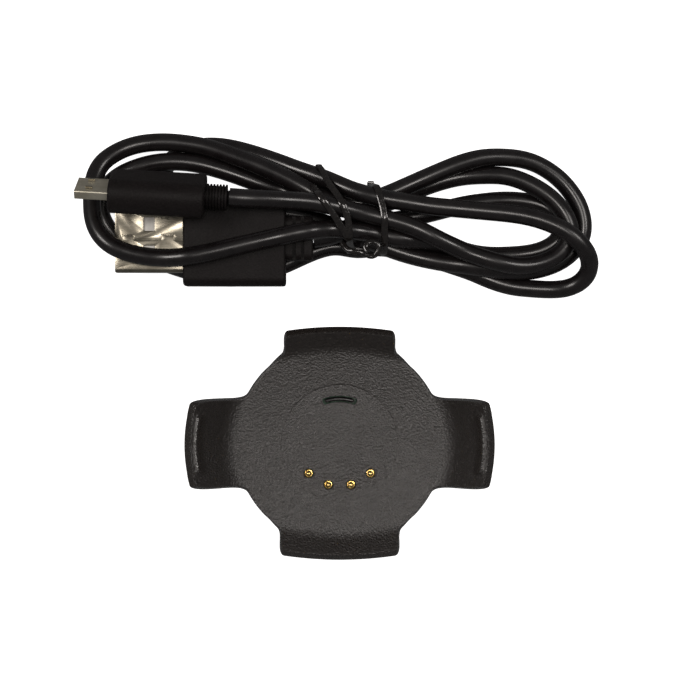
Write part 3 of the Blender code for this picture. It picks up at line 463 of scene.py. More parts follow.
CORD_RADIUS = 0.0016
PLUG_ROOMS = (  # where the USB-A plug lies among the folds, in millimetres
    ((-38.5, 31.0, 5.95), (-28.0, 41.0, 8.45)),
    ((-26.5, 28.6, 4.5), (-10.5, 43.4, 9.9)),
    ((-8.6, 33.1, 5.2), (-5.9, 38.9, 9.2)),
)
CORD_WAY = (  # the cable from the micro plug to the USB-A plug, in millimetres
    (-19.0, 42.8, 15.8), (-16.3, 42.6, 15.8), (-13.8, 42.5, 15.3), (-10.3, 42.4, 14.3),
    (-6.9, 42.3, 13.0), (-3.4, 42.0, 11.5), (0.6, 41.2, 10.0), (3.6, 40.5, 9.2), (6.8, 39.7, 8.7),
    (8.9, 39.0, 8.5), (11.5, 38.1, 8.3), (14.2, 37.2, 8.1), (16.8, 36.0, 7.9), (19.5, 34.9, 7.6),
    (23.1, 33.3, 7.3), (26.6, 32.0, 6.9), (29.3, 31.4, 6.5), (32.0, 31.1, 6.0), (34.7, 31.4, 5.4),
    (37.1, 32.2, 4.9), (39.3, 33.3, 4.6), (40.7, 34.9, 4.5), (41.4, 36.6, 4.5), (41.2, 38.4, 4.5),
    (40.5, 40.0, 4.5), (39.3, 41.8, 4.5), (37.7, 43.5, 4.5), (35.9, 44.8, 4.3), (34.0, 45.9, 4.1),
    (31.5, 47.0, 3.8), (29.2, 47.6, 3.5), (26.9, 47.8, 3.2), (24.2, 47.8, 2.9), (21.6, 47.5, 2.7),
    (18.9, 46.8, 2.6), (16.6, 46.0, 2.5), (14.0, 45.1, 2.4), (11.7, 44.0, 2.3), (9.4, 42.9, 2.2),
    (6.9, 42.2, 2.1), (1.9, 42.1, 2.2), (-2.6, 42.6, 2.4), (-7.1, 43.6, 2.7), (-11.6, 45.0, 3.1),
    (-15.1, 46.3, 3.5), (-17.8, 47.3, 3.8), (-21.3, 48.5, 4.2), (-24.9, 49.5, 4.5), (-28.1, 49.9, 4.7),
    (-30.6, 49.9, 4.8), (-32.9, 49.7, 4.8), (-35.0, 49.2, 4.8), (-36.8, 48.6, 4.7), (-38.6, 47.9, 4.5),
    (-40.2, 46.9, 4.1), (-41.7, 45.6, 3.5), (-42.8, 44.1, 2.8), (-43.2, 42.3, 2.2), (-43.0, 40.5, 1.8),
    (-42.3, 38.8, 1.6), (-41.1, 37.3, 1.6), (-39.4, 36.0, 1.6), (-37.3, 34.6, 1.6), (-34.4, 33.2, 1.6),
    (-31.4, 31.9, 1.6), (-27.8, 30.7, 1.6), (-24.2, 29.7, 1.6), (-20.6, 29.2, 1.6), (-17.9, 29.2, 1.6),
    (-15.2, 29.8, 1.6), (-12.5, 30.6, 1.6), (-9.3, 31.8, 1.6), (-7.1, 32.9, 1.6), (-4.4, 34.1, 1.6),
    (-1.7, 35.0, 1.6), (1.0, 35.3, 1.6), (4.0, 35.2, 1.8), (6.9, 34.9, 1.9), (9.0, 34.5, 1.8),
    (12.6, 33.7, 1.6), (16.2, 32.7, 1.6), (19.8, 31.6, 1.6), (23.4, 30.5, 1.6), (27.0, 29.3, 1.6),
    (30.6, 28.2, 1.6), (34.2, 27.4, 1.6), (37.8, 27.1, 1.6), (40.6, 27.2, 2.0), (43.0, 28.1, 2.9),
    (44.5, 29.9, 4.2), (44.7, 32.0, 5.7), (43.6, 34.2, 7.0), (41.6, 36.3, 7.7), (38.9, 38.0, 7.9),
    (35.4, 39.4, 8.0), (31.8, 40.2, 8.1), (28.3, 40.6, 8.2), (24.8, 40.9, 8.3), (19.5, 41.4, 8.4),
    (15.9, 41.7, 8.4), (12.4, 42.3, 8.5), (8.9, 42.8, 8.5), (6.8, 43.2, 8.5), (4.8, 43.7, 8.2),
    (1.8, 44.5, 7.5), (0.1, 45.2, 6.9), (-3.5, 46.7, 5.5), (-7.1, 48.3, 4.1), (-10.7, 49.8, 3.0),
    (-14.3, 51.1, 2.2), (-17.9, 52.2, 1.7), (-20.6, 52.8, 1.6), (-22.9, 53.0, 1.6), (-25.1, 52.9, 1.6),
    (-27.2, 52.3, 1.6), (-29.6, 51.1, 1.6), (-31.5, 49.2, 1.6), (-32.7, 46.7, 1.6), (-32.7, 44.0, 1.6),
    (-31.5, 41.5, 1.6), (-29.4, 39.8, 1.6), (-26.5, 39.0, 1.6), (-23.3, 39.1, 1.6), (-19.7, 39.6, 1.6),
    (-15.2, 40.5, 1.6), (-11.6, 40.9, 1.6), (-9.3, 40.9, 1.6), (-6.6, 40.4, 1.6), (-3.5, 39.4, 1.9),
    (-0.8, 38.3, 2.4), (1.9, 37.1, 3.2), (4.5, 36.0, 4.2), (6.8, 35.4, 4.9), (9.0, 34.9, 5.1),
    (12.5, 34.2, 5.0), (16.1, 33.6, 4.8), (19.7, 32.9, 4.6), (23.3, 32.1, 4.2), (26.0, 31.4, 3.7),
    (28.7, 30.8, 3.1), (31.4, 30.5, 2.5), (34.2, 30.6, 2.0), (36.5, 31.0, 1.7), (38.7, 31.7, 1.6),
    (40.5, 32.6, 1.6), (42.1, 34.0, 1.6), (43.3, 35.5, 1.6), (43.9, 37.3, 1.6), (43.9, 39.1, 1.6),
    (43.5, 41.1, 1.6), (42.6, 43.2, 1.6), (41.2, 45.2, 1.7), (39.6, 47.0, 1.8), (37.7, 48.4, 2.0),
    (35.9, 49.5, 2.2), (34.1, 50.2, 2.5), (32.3, 50.6, 2.8), (29.6, 50.8, 3.2), (26.9, 50.6, 3.7),
    (24.1, 50.2, 4.2), (21.4, 49.4, 4.7), (18.8, 48.4, 5.1), (16.1, 47.3, 5.4), (13.4, 46.1, 5.5),
    (10.7, 44.9, 5.5), (8.6, 44.0, 5.4), (6.8, 43.3, 5.3), (4.5, 42.5, 5.3), (1.8, 42.5, 5.4),
    (-1.7, 43.2, 5.7), (-5.3, 44.8, 6.0), (-8.8, 46.5, 6.0), (-12.4, 48.2, 5.8), (-15.9, 49.7, 5.5),
    (-19.5, 51.0, 5.1), (-22.7, 52.1, 4.8), (-25.7, 52.8, 4.8), (-28.4, 53.2, 4.8), (-31.1, 53.4, 4.8),
    (-33.8, 53.3, 4.8), (-35.9, 53.0, 4.9), (-38.2, 52.3, 5.1), (-40.4, 51.1, 5.6), (-42.2, 49.8, 6.1),
    (-43.2, 48.0, 6.7), (-43.7, 46.0, 7.3), (-43.8, 44.1, 7.9), (-43.7, 41.9, 8.5), (-43.6, 40.1, 9.1),
    (-43.2, 38.5, 9.7), (-42.5, 37.0, 10.3), (-41.5, 35.7, 10.8), (-40.2, 34.6, 11.1),
    (-38.8, 33.9, 11.2), (-36.7, 33.2, 11.1), (-33.2, 32.6, 11.1), (-30.0, 32.4, 11.4),
    (-27.0, 32.6, 12.2), (-24.3, 33.0, 12.6), (-20.9, 33.8, 12.6), (-17.4, 34.6, 12.6),
    (-13.9, 35.4, 12.6), (-11.3, 36.0, 12.5), (-9.4, 36.4, 12.3), (-6.9, 37.0, 11.6),
    (-4.3, 37.4, 10.6), (-1.7, 37.6, 9.5), (1.0, 37.6, 8.6), (3.6, 37.4, 7.8), (6.8, 36.9, 7.2),
    (8.9, 36.3, 6.9), (12.5, 35.4, 6.2), (16.1, 34.5, 5.4), (19.7, 33.6, 4.5), (23.3, 32.9, 3.6),
    (26.9, 32.6, 2.8), (29.7, 32.7, 2.2), (32.4, 32.9, 1.8), (35.1, 33.5, 1.6), (37.4, 34.4, 1.6),
    (39.2, 35.6, 1.6), (40.2, 37.1, 1.6), (40.3, 38.8, 1.6), (39.6, 40.3, 1.6), (38.1, 41.5, 1.6),
    (36.0, 42.5, 1.6), (34.2, 42.9, 1.6), (31.5, 43.2, 1.7), (28.8, 43.2, 1.9), (25.2, 42.8, 2.4),
    (22.1, 42.3, 2.9), (19.4, 41.6, 3.3), (16.1, 40.7, 3.8), (12.6, 39.9, 4.2), (9.0, 39.2, 4.5),
    (6.8, 39.0, 4.7), (4.0, 38.3, 5.4), (1.5, 37.4, 6.1), (-0.8, 36.7, 6.7), (-2.6, 36.3, 7.0),
    (-3.8, 36.1, 7.2), (-4.6, 36.0, 7.2),
)
ROUTE_SPACING, CORD_SPACING, PLUG_MARGIN = 1.0, 0.6, 1.0  # in millimetres
NEIGHBOURS, HELD_POINTS = 7, 12
SETTLE_ROUNDS, SETTLE_STEP, FOLD_PUSH, PLUG_PUSH = 120, 1.6, 0.25, 0.5
PULL_BACK, PULL_BACK_AXES, STRAIGHTEN = 0.01, (1, 1, 0.5), 0.05
CURVE_STEPS = 12


def smooth_line(way, spacing):
    """Evenly spaced points on a smooth curve through a route."""
    ends = np.vstack([2 * way[0] - way[1], way, 2 * way[-1] - way[-2]])
    t = np.linspace(0, 1, CURVE_STEPS, endpoint=False)[:, None]
    spans = []
    for a, b, c, d in zip(ends, ends[1:], ends[2:], ends[3:]):
        curve = 2 * b + (c - a) * t + (2 * a - 5 * b + 4 * c - d) * t ** 2
        spans.append(0.5 * (curve + (3 * b - a - 3 * c + d) * t ** 3))
    line = np.vstack([*spans, way[-1:]])
    travelled = np.concatenate([[0], np.cumsum(np.linalg.norm(np.diff(line, axis=0), axis=1))])
    places = np.linspace(0, travelled[-1], int(round(travelled[-1] / spacing)) + 1)
    columns = [np.interp(places, travelled, line[:, axis]) for axis in range(way.shape[1])]
    return np.stack(columns, axis=1)


def clear_of_plug(line, room):
    """How far each point has to go to lie outside the USB-A plug."""
    move = np.zeros_like(line)
    for low, high in PLUG_ROOMS:
        away = line - np.clip(line, low, high)
        distance = np.linalg.norm(away, axis=1)
        near = (distance < room) & (distance > 1e-6)
        move[near] += away[near] * ((room - distance[near]) / distance[near])[:, None]
    return move


def settled_cable():
    """Lets the folds find their own places: none inside another, the plug or the table."""
    line = smooth_line(np.array(CORD_WAY), ROUTE_SPACING)
    start, count = line.copy(), len(line)
    order = np.arange(count)
    apart = np.abs(order[:, None] - order[None, :]) > NEIGHBOURS
    free = np.clip(np.minimum(order, count - 1 - order) / HELD_POINTS, 0, 1)[:, None]
    radius = CORD_RADIUS / MM
    for _ in range(SETTLE_ROUNDS):
        offset = line[:, None, :] - line[None, :, :]
        distance = np.linalg.norm(offset, axis=2)
        overlap = (2 * radius - distance) / np.maximum(distance, 0.001)
        push = np.where(apart & (distance < 2 * radius), overlap, 0)
        move = FOLD_PUSH * (push[:, :, None] * offset).sum(axis=1)
        from_plug = clear_of_plug(line, radius + PLUG_MARGIN)
        from_plug[count - HELD_POINTS - 1:] = 0
        move += PLUG_PUSH * from_plug
        for _ in range(2):
            move[1:-1] = 0.25 * move[:-2] + 0.5 * move[1:-1] + 0.25 * move[2:]
        line = line + SETTLE_STEP * move * free
        line = line - PULL_BACK * (line - start) * free * PULL_BACK_AXES
        line[1:-1] += STRAIGHTEN * (0.5 * (line[:-2] + line[2:]) - line[1:-1]) * free[1:-1]
        line[:, 2] = np.maximum(line[:, 2], radius)
    return smooth_line(line, CORD_SPACING) * MM


def make_cable():
    """The cable as one round curve; also gives the points that it follows."""
    line = settled_cable()
    curve = bpy.data.curves.new("charging_cable", "CURVE")
    curve.dimensions = "3D"
    curve.bevel_depth = CORD_RADIUS
    curve.bevel_resolution = 6
    curve.use_fill_caps = True
    spline = curve.splines.new("POLY")
    spline.points.add(len(line) - 1)
    for point, place in zip(spline.points, line):
        point.co = (*place, 1)
    spline.use_smooth = True
    cable = bpy.data.objects.new("charging_cable", curve)
    bpy.context.scene.collection.objects.link(cable)
    curve.materials.append(SHEATH_FINISH)
    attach(cable, "lead")
    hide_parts("micro_lead", "usb_lead", "cable_hank")
    return cable, line


# ---------------------------------------------------------------- tie

TIE_HALF_WIDTH, TIE_HALF_THICKNESS = 0.00060, 0.00024
TIE_LOWEST = 0.0006
TIE_UPPER_SIDE = (  # the tie over the folds, in millimetres: two closed rings, then one open turn
    ((5.6, 46.2), (6.6, 44.9), (7.0, 43.6), (7.6, 41.4), (7.9, 39.2), (7.9, 37.2), (8.0, 35.2),
     (7.9, 33.6)),
    ((-3.7, 49.0), (-3.0, 48.0), (-2.3, 46.4), (-1.3, 44.8), (-0.2, 43.2), (0.8, 41.2), (1.5, 39.0),
     (1.7, 37.2), (1.8, 35.4), (1.8, 33.8)),
    ((-4.7, 45.4), (-4.2, 44.4), (-3.1, 42.9), (-2.0, 41.4), (-1.0, 39.9), (0.0, 38.4), (0.9, 36.9),
     (1.7, 35.4), (2.5, 33.9)),
)
TIE_RINGS, TIE_SPACING, TIE_EASING, TIE_CLEARANCE = 2, 0.25, 4, 0.00008
TIE_CURL_MIDDLE, TIE_CURL_RADIUS, TIE_CURL_STEPS = (0.0056, 0.0342, 0.0098), 0.00140, 12
RIBBON_CORNERS, RIBBON_SQUARENESS = 12, (0.6, 0.8)
HANK_MIDDLE = (0, 0.0395, 0.0055)


def height_over(line, x, y, reach):
    """The lowest height at which a thin band clears the folds at one place."""
    across = np.hypot(line[:, 0] - x, line[:, 1] - y)
    near = across < reach
    if not near.any():
        return TIE_LOWEST
    return float((line[near, 2] + np.sqrt(reach ** 2 - across[near] ** 2)).max())


def pulled_taut(along, heights):
    """Bridges the hollows between the folds, as a tight band does."""
    hull = []
    for point in zip(along, heights):
        while len(hull) > 1:
            (x0, z0), (x1, z1) = hull[-2:]
            if (x1 - x0) * (point[1] - z0) - (z1 - z0) * (point[0] - x0) < 0:
                break
            hull.pop()
        hull.append(point)
    return np.interp(along, *zip(*hull))


def tie_over(line, side):
    """One pass of the tie: over the folds, and down and under them at its two ends."""
    reach = CORD_RADIUS + TIE_HALF_THICKNESS + TIE_CLEARANCE
    flat = smooth_line(np.array(side), TIE_SPACING) * MM
    along = np.concatenate([[0], np.cumsum(np.linalg.norm(np.diff(flat, axis=0), axis=1))])
    heights = [height_over(line, x, y, reach) for x, y in flat]
    return np.column_stack([flat, pulled_taut(along, heights)])


def ribbon(name, route, outward, half_width, half_thickness):
    """A flat coated wire along a route, its broad face turned outward."""
    wide, thick = RIBBON_SQUARENESS
    section = [
        (half_width * math.copysign(abs(math.cos(a)) ** wide, math.cos(a)),
         half_thickness * math.copysign(abs(math.sin(a)) ** thick, math.sin(a)))
        for a in (2 * math.pi * i / RIBBON_CORNERS for i in range(RIBBON_CORNERS))
    ]
    bm = bmesh.new()
    rings = []
    for i, (place, out) in enumerate(zip(route, outward)):
        along = (Vector(route[min(i + 1, len(route) - 1)]) - Vector(route[max(i - 1, 0)])).normalized()
        across = along.cross(Vector(out)).normalized()
        out = across.cross(along).normalized()
        rings.append([bm.verts.new(Vector(place) + across * u + out * v) for u, v in section])
    for first, second in zip(rings, rings[1:]):
        for i in range(RIBBON_CORNERS):
            j = (i + 1) % RIBBON_CORNERS
            bm.faces.new((first[i], first[j], second[j], second[i]))
    bm.faces.new(rings[0])
    bm.faces.new(rings[-1])
    bmesh.ops.recalc_face_normals(bm, faces=bm.faces)
    mesh = bpy.data.meshes.new(name)
    bm.to_mesh(mesh)
    bm.free()
    obj = bpy.data.objects.new(name, mesh)
    bpy.context.scene.collection.objects.link(obj)
    return obj


def evened(route, rounds=TIE_EASING):
    """The same route with evenly spaced points and its kinks eased."""
    line = smooth_line(np.array(route) / MM, TIE_SPACING)
    for _ in range(rounds):
        line[1:-1] = 0.25 * line[:-2] + 0.5 * line[1:-1] + 0.25 * line[2:]
    line[:, 2] = np.maximum(line[:, 2], TIE_LOWEST / MM)
    return line * MM


def ring_round(over):
    """Closes a pass under the folds: down at its far end, along just above the table, and up."""
    (x0, y0, z0), (x1, y1, z1) = over[0], over[-1]
    under = [
        (x1, y1 - 0.0003, z1 - 0.0016), (x1, y1 - 0.0003, 0.0024), (x1, y1 + 0.0006, TIE_LOWEST),
        ((x0 + x1) / 2, (y0 + y1) / 2, TIE_LOWEST),
        (x0, y0 - 0.0006, TIE_LOWEST), (x0, y0 + 0.0002, 0.0022), (x0, y0 + 0.0002, z0 - 0.0012),
    ]
    return evened([*over, *under, over[0]])


def curled_tail():
    """The near ends, twisted together along the hank's edge, their tip rolled into a small curl."""
    x, y, z = TIE_CURL_MIDDLE
    tail = [
        (0.0004, 0.0352, z - 0.0010), (0.0013, 0.0341, z - 0.0004), (0.0026, 0.0336, z),
        (0.0040, 0.0334, z),
    ]
    for step in range(1, TIE_CURL_STEPS + 1):
        angle = math.radians(-130 + 30 * step)
        radius = TIE_CURL_RADIUS * (1 - 0.02 * step)
        tail.append((x + radius * math.cos(angle), y + radius * math.sin(angle), z + 0.00008 * step))
    tail = evened(tail, 2)
    turn = [math.radians(40 * math.sin(i * 0.35)) for i in range(len(tail))]
    outward = [(0, math.sin(a), math.cos(a)) for a in turn]
    return ribbon("twist_tie_tail", tail, outward, TIE_HALF_WIDTH * 0.85, TIE_HALF_THICKNESS * 1.7)


def make_tie(line):
    pieces = []
    for number, side in enumerate(TIE_UPPER_SIDE, 1):
        over, closed = tie_over(line, side), number <= TIE_RINGS
        route = ring_round(over) if closed else evened(over)
        middle = route.mean(axis=0) if closed else np.array(HANK_MIDDLE)
        outward = [(0, out[1], out[2] * 1.4 + 0.001) for out in route - middle]
        name = f"twist_tie_turn_{number}"
        pieces.append(ribbon(name, route, outward, TIE_HALF_WIDTH, TIE_HALF_THICKNESS))
    pieces.append(curled_tail())
    for number, piece in enumerate(pieces):
        hand_over(piece, TIE_FINISH, "lead", "tie_coating", *(["twist_tie"] if number == 0 else []))
    return pieces


# ---------------------------------------------------------------- tray

TRAY_WALL = 0.0015
DISC_RADIUS, DISC_TOP, DISC_STEP, STEP_WIDTH = 0.0101, 0.0080, 0.00007, 0.0003
DISH_OUTER, DISH_EDGE, DISH_RISE = 0.0160, 0.0181, 0.0013
WING_TIP, WING_HALF_WIDTH, WING_FOOT, WING_FILLET, WING_SLOPE = 0.0256, 0.0075, 0.0180, 0.0030, 1.12
BEAD_RADIUS, BEAD_HEIGHT, BEAD_HALF_WIDTH, BEAD_HALF_LENGTH = 0.0245, 0.0011, 0.0005, 0.0052
BEAD_END = 0.0004
FLANGE_TIP, FLANGE_ARC = 0.0195, 0.061
FLANGE_HALF_WIDTH_KEY, FLANGE_HALF_WIDTH_PINS = 0.00955, 0.01025
FLANGE_FOOT, FLANGE_FILLET, FLANGE_SLOPE, FLANGE_BOW = 0.0153, 0.0020, 0.62, 0.04
WING_CORNER, WING_NECK, FLANGE_CORNER, FLANGE_NECK = 0.0030, 0.0026, 0.0018, 0.0008
TRAY_COLUMNS = 480
DISC_ROWS = (
    0.0101, 0.01015, 0.0102, 0.01025, 0.0103, 0.01035, 0.0104, 0.0107, 0.0114, 0.0124, 0.0136, 0.0149
)
WING_ROWS, BEAD_ROWS, BEAD_START = 20, 17, 0.76
RIM_EDGE, RIM_WEAR_START, RIM_WEAR_WIDTH, BEAD_WEAR = 0.00032, 0.0002, 0.0003, 0.8
DISH_CURVE, OUTLINE_STEPS = 1.2, 7200

PIN_CIRCLE, PIN_ANGLES, PIN_HOLE_RADIUS = 0.0077, (-135, -105, -75, -45), 0.000875
KEY_HALF_ANGLE, KEY_WIDTH, KEY_BOTTOM, KEY_TOP = 19, 0.0006, 0.0033, 0.0086
SLOT_HALF_ANGLE, SLOT_WIDTH = 23, 0.0012
SCREW_CIRCLE, SCREW_ANGLES, SCREW_TOP, SCREW_RADIUS, GAP = 0.0128, (30, 150, 270), 0.0064, 0.0007, 0.0003
TRAY_BOSS_RADIUS, TRAY_BOSS_BOTTOM, TRAY_BOSS_TOP = 0.0018, 0.0046, 0.0079


def smooth_min(a, b, blend):
    """The smaller of two lengths, with the corner between them rounded."""
    near = max(blend - abs(a - b), 0) / blend
    return min(a, b) - near * near * blend / 4


def smooth_max(a, b, blend):
    return -smooth_min(-a, -b, blend)


def outline_radius(angle):
    """How far the tray's upper face reaches from the centre in one direction."""
    across, along = abs(math.cos(angle)) + 1e-9, abs(math.sin(angle)) + 1e-9
    wing = smooth_min(WING_TIP, WING_HALF_WIDTH / along, WING_CORNER)
    half_width = FLANGE_HALF_WIDTH_KEY if math.sin(angle) > 0 else FLANGE_HALF_WIDTH_PINS
    arc_centre = FLANGE_ARC - FLANGE_TIP
    tip = math.sqrt(FLANGE_ARC ** 2 - (arc_centre * across) ** 2) - arc_centre * along
    flange = smooth_min(tip, half_width / across, FLANGE_CORNER)
    return smooth_max(smooth_max(DISH_EDGE, wing, WING_NECK), flange, FLANGE_NECK)


def ramp(distance, fillet, slope):
    """The height of a slope that starts in a rounded corner."""
    if distance <= 0:
        return 0
    if distance < fillet:
        return slope * distance ** 2 / (2 * fillet)
    return slope * (distance - fillet / 2)


def bead_share(x, y):
    """How much of the snap bead's section stands at a point, from 0 to 1."""
    if abs(x) < abs(y):
        return 0
    across = math.exp(-(((math.hypot(x, y) - BEAD_RADIUS) / BEAD_HALF_WIDTH) ** 2))
    return across * min(max((BEAD_HALF_LENGTH - abs(y)) / BEAD_END, 0), 1)


def tray_height(x, y):
    """The height of the tray's upper face: the disc, the dish, and the arms or flanges."""
    radius = math.hypot(x, y)
    share = max(radius - DISC_RADIUS, 0) / (DISH_EDGE - DISC_RADIUS)
    height = DISC_TOP + DISC_STEP + DISH_RISE * share ** DISH_CURVE
    if abs(x) > abs(y):
        height += ramp(radius - WING_FOOT, WING_FILLET, WING_SLOPE) + BEAD_HEIGHT * bead_share(x, y)
    else:
        bowed = abs(y) + x * x / (2 * FLANGE_BOW)
        height += ramp(bowed - FLANGE_FOOT, FLANGE_FILLET, FLANGE_SLOPE)
    climb = min(max((radius - DISC_RADIUS) / STEP_WIDTH, 0), 1)
    return DISC_TOP + (height - DISC_TOP) * climb * climb * (3 - 2 * climb)


def column_angles(count):
    """Directions whose points on the outline are evenly spaced along it."""
    angles = [2 * math.pi * i / OUTLINE_STEPS for i in range(OUTLINE_STEPS + 1)]
    edge = [(outline_radius(a) * math.cos(a), outline_radius(a) * math.sin(a)) for a in angles]
    travelled = [0.0]
    for start, end in zip(edge, edge[1:]):
        travelled.append(travelled[-1] + math.dist(start, end))
    places = [travelled[-1] * step / count for step in range(count)]
    return [float(a) for a in np.interp(places, travelled, angles)]


def tray_skin():
    """The upper face: a grid wrapped round the disc, its rows carried out to the outline."""
    shares = [BEAD_START * i / WING_ROWS for i in range(WING_ROWS)]
    shares += [BEAD_START + (1 - BEAD_START) * i / BEAD_ROWS for i in range(BEAD_ROWS + 1)]
    rows = len(DISC_ROWS) + len(shares) - 1
    bpy.ops.object.select_all(action="DESELECT")
    bpy.ops.mesh.primitive_grid_add(x_subdivisions=TRAY_COLUMNS, y_subdivisions=rows, size=1)
    tray = settle_primitive("cradle_tray_moulding")
    angles = column_angles(TRAY_COLUMNS)
    reach = [outline_radius(a) for a in angles]
    for vert in tray.data.vertices:
        column = round((vert.co.x + 0.5) * TRAY_COLUMNS) % TRAY_COLUMNS
        row = round((0.5 - vert.co.y) * rows)
        radius = DISC_ROWS[row] if row < len(DISC_ROWS) else 0
        if row >= len(DISC_ROWS):
            radius = DISH_OUTER + shares[row - len(DISC_ROWS)] * (reach[column] - DISH_OUTER)
        x, y = radius * math.cos(angles[column]), radius * math.sin(angles[column])
        vert.co = (x, y, tray_height(x, y))
    pick(tray, "EDGE", lambda edge: True)
    bpy.ops.mesh.remove_doubles(threshold=0.000001)
    put_down()
    pick(tray, "EDGE", lambda edge: all(vert.co.xy.length < DISC_RADIUS + TOUCH for vert in edge.verts))
    bpy.ops.mesh.edge_face_add()
    bpy.ops.mesh.select_all(action="SELECT")
    bpy.ops.mesh.normals_make_consistent(inside=False)
    put_down()
    if sum(face.normal.z for face in tray.data.polygons) < 0:
        tray.data.flip_normals()
    return tray


def arc_rib(name, half_angle, width, low, high, steps=24):
    """An upright face turned about the centre into a curved rib on the pin circle, with round ends."""
    start = math.pi / 2 - math.radians(half_angle)
    place = (PIN_CIRCLE * math.cos(start), PIN_CIRCLE * math.sin(start), (low + high) / 2)
    bpy.ops.object.select_all(action="DESELECT")
    bpy.ops.mesh.primitive_plane_add(size=1, location=place, rotation=(math.pi / 2, 0, start))
    bpy.context.object.scale = (width, high - low, 1)
    rib = settle_primitive(name)
    pick(rib, "FACE", lambda face: True)
    bpy.ops.mesh.spin(steps=steps, angle=-2 * math.radians(half_angle), center=(0, 0, 0), axis=(0, 0, 1))
    bpy.ops.mesh.select_all(action="SELECT")
    bpy.ops.mesh.normals_make_consistent(inside=False)
    put_down()
    ends = [start, math.pi - start]

    def upright_end(edge):
        middle = (edge.verts[0].co + edge.verts[1].co) / 2
        near_end = min(abs(math.atan2(middle.y, middle.x) - end) for end in ends) < 0.002
        return running(2)(edge) and near_end

    round_edges(rib, upright_end, width * 0.49, 6)
    return rib


def make_tray():
    tray = tray_skin()
    shell_wall(tray, TRAY_WALL)
    soften(tray, RIM_EDGE, 3, 50)
    low, high = DISC_TOP - 2 * TRAY_WALL, DISC_TOP + TRAY_WALL
    bosses, cutters = [], []
    for degrees in SCREW_ANGLES:
        x, y = on_circle(SCREW_CIRCLE, degrees)
        bosses.append(rod("tray_boss", x, y, TRAY_BOSS_BOTTOM, TRAY_BOSS_TOP, TRAY_BOSS_RADIUS, 32))
        cutters.append(rod("pilot_hole", x, y, 0.003, SCREW_TOP + GAP, SCREW_RADIUS + GAP, 24))
    for degrees in PIN_ANGLES:
        cutters.append(rod("pin_hole", *on_circle(PIN_CIRCLE, degrees), low, high, PIN_HOLE_RADIUS, 40))
    cutters.append(arc_rib("key_slot", SLOT_HALF_ANGLE, SLOT_WIDTH, low, high))
    cut(tray, bosses, "UNION")
    cut(tray, cutters)
    polish = tray.data.attributes.new("polish", "FLOAT", "POINT")
    for vert, mark in zip(tray.data.vertices, polish.data):
        x, y, _ = vert.co
        past = math.hypot(x, y) - outline_radius(math.atan2(y, x)) + RIM_WEAR_START
        mark.value = max(min(max(past / RIM_WEAR_WIDTH, 0), 1), BEAD_WEAR * bead_share(x, y))
    return hand_over(tray, TRAY_FINISH, "cradle", "tray_plastic", "cradle_tray")


def make_key():
    key = arc_rib("locating_key_rib", KEY_HALF_ANGLE, KEY_WIDTH, KEY_BOTTOM, KEY_TOP, 28)

    def top_edge(edge):
        at_top = all(vert.co.z > KEY_TOP - TOUCH for vert in edge.verts)
        return at_top and len(edge.link_faces) == 2 and abs(edge.calc_face_angle(0)) > 1.0

    round_edges(key, top_edge, KEY_WIDTH * 0.42, 4)
    return hand_over(key, KEY_FINISH, "cradle", "key_plastic", "locating_key")


# ---------------------------------------------------------------- contact pins

BARREL_RADIUS, BARREL_BORE, BARREL_LIP = 0.00072, 0.00055, 0.0001
BARREL_BOTTOM, BARREL_FLOOR, BARREL_TOP = 0.0031, 0.0034, 0.0081
PLUNGER_RADIUS, PLUNGER_BOTTOM, PLUNGER_TOP = 0.00045, 0.0063, 0.0092


def first_barrel():
    barrel = rod("pin_barrel", 0, 0, BARREL_BOTTOM, BARREL_TOP, BARREL_RADIUS, 40)
    round_edges(barrel, rim_at(BARREL_TOP), BARREL_LIP, 3)
    pick(barrel, "FACE", top_face(BARREL_TOP))
    bpy.ops.mesh.inset(thickness=BARREL_RADIUS - BARREL_LIP - BARREL_BORE)
    extend((0, 0, BARREL_FLOOR - BARREL_TOP))
    put_down()
    return barrel


def first_plunger():
    plunger = rod("pin_plunger", 0, 0, PLUNGER_BOTTOM, PLUNGER_TOP, PLUNGER_RADIUS, 40)
    round_edges(plunger, rim_at(PLUNGER_TOP), PLUNGER_RADIUS * 0.92, 8)
    return plunger


def copy_to(pattern, name, x, y):
    """A copy with its own mesh, moved in the mesh."""
    mesh = pattern.data.copy()
    mesh.transform(Matrix.Translation((x, y, 0)))
    obj = bpy.data.objects.new(name, mesh)
    bpy.context.scene.collection.objects.link(obj)
    return obj


def make_pins():
    barrel, plunger = first_barrel(), first_plunger()
    for number, degrees in enumerate(PIN_ANGLES, 1):
        x, y = on_circle(PIN_CIRCLE, degrees)
        hand_over(
            copy_to(barrel, f"pin_barrel_{number}", x, y), GOLD_FINISH, "cradle", "contact_gold",
            f"pogo_barrel_{number}",
        )
        hand_over(
            copy_to(plunger, f"pin_plunger_{number}", x, y), GOLD_FINISH, f"plunger_{number}",
            "contact_gold", f"pogo_plunger_{number}",
        )
    for pattern in (barrel, plunger):
        bpy.data.meshes.remove(pattern.data)


# ---------------------------------------------------------------- housing, foot and socket

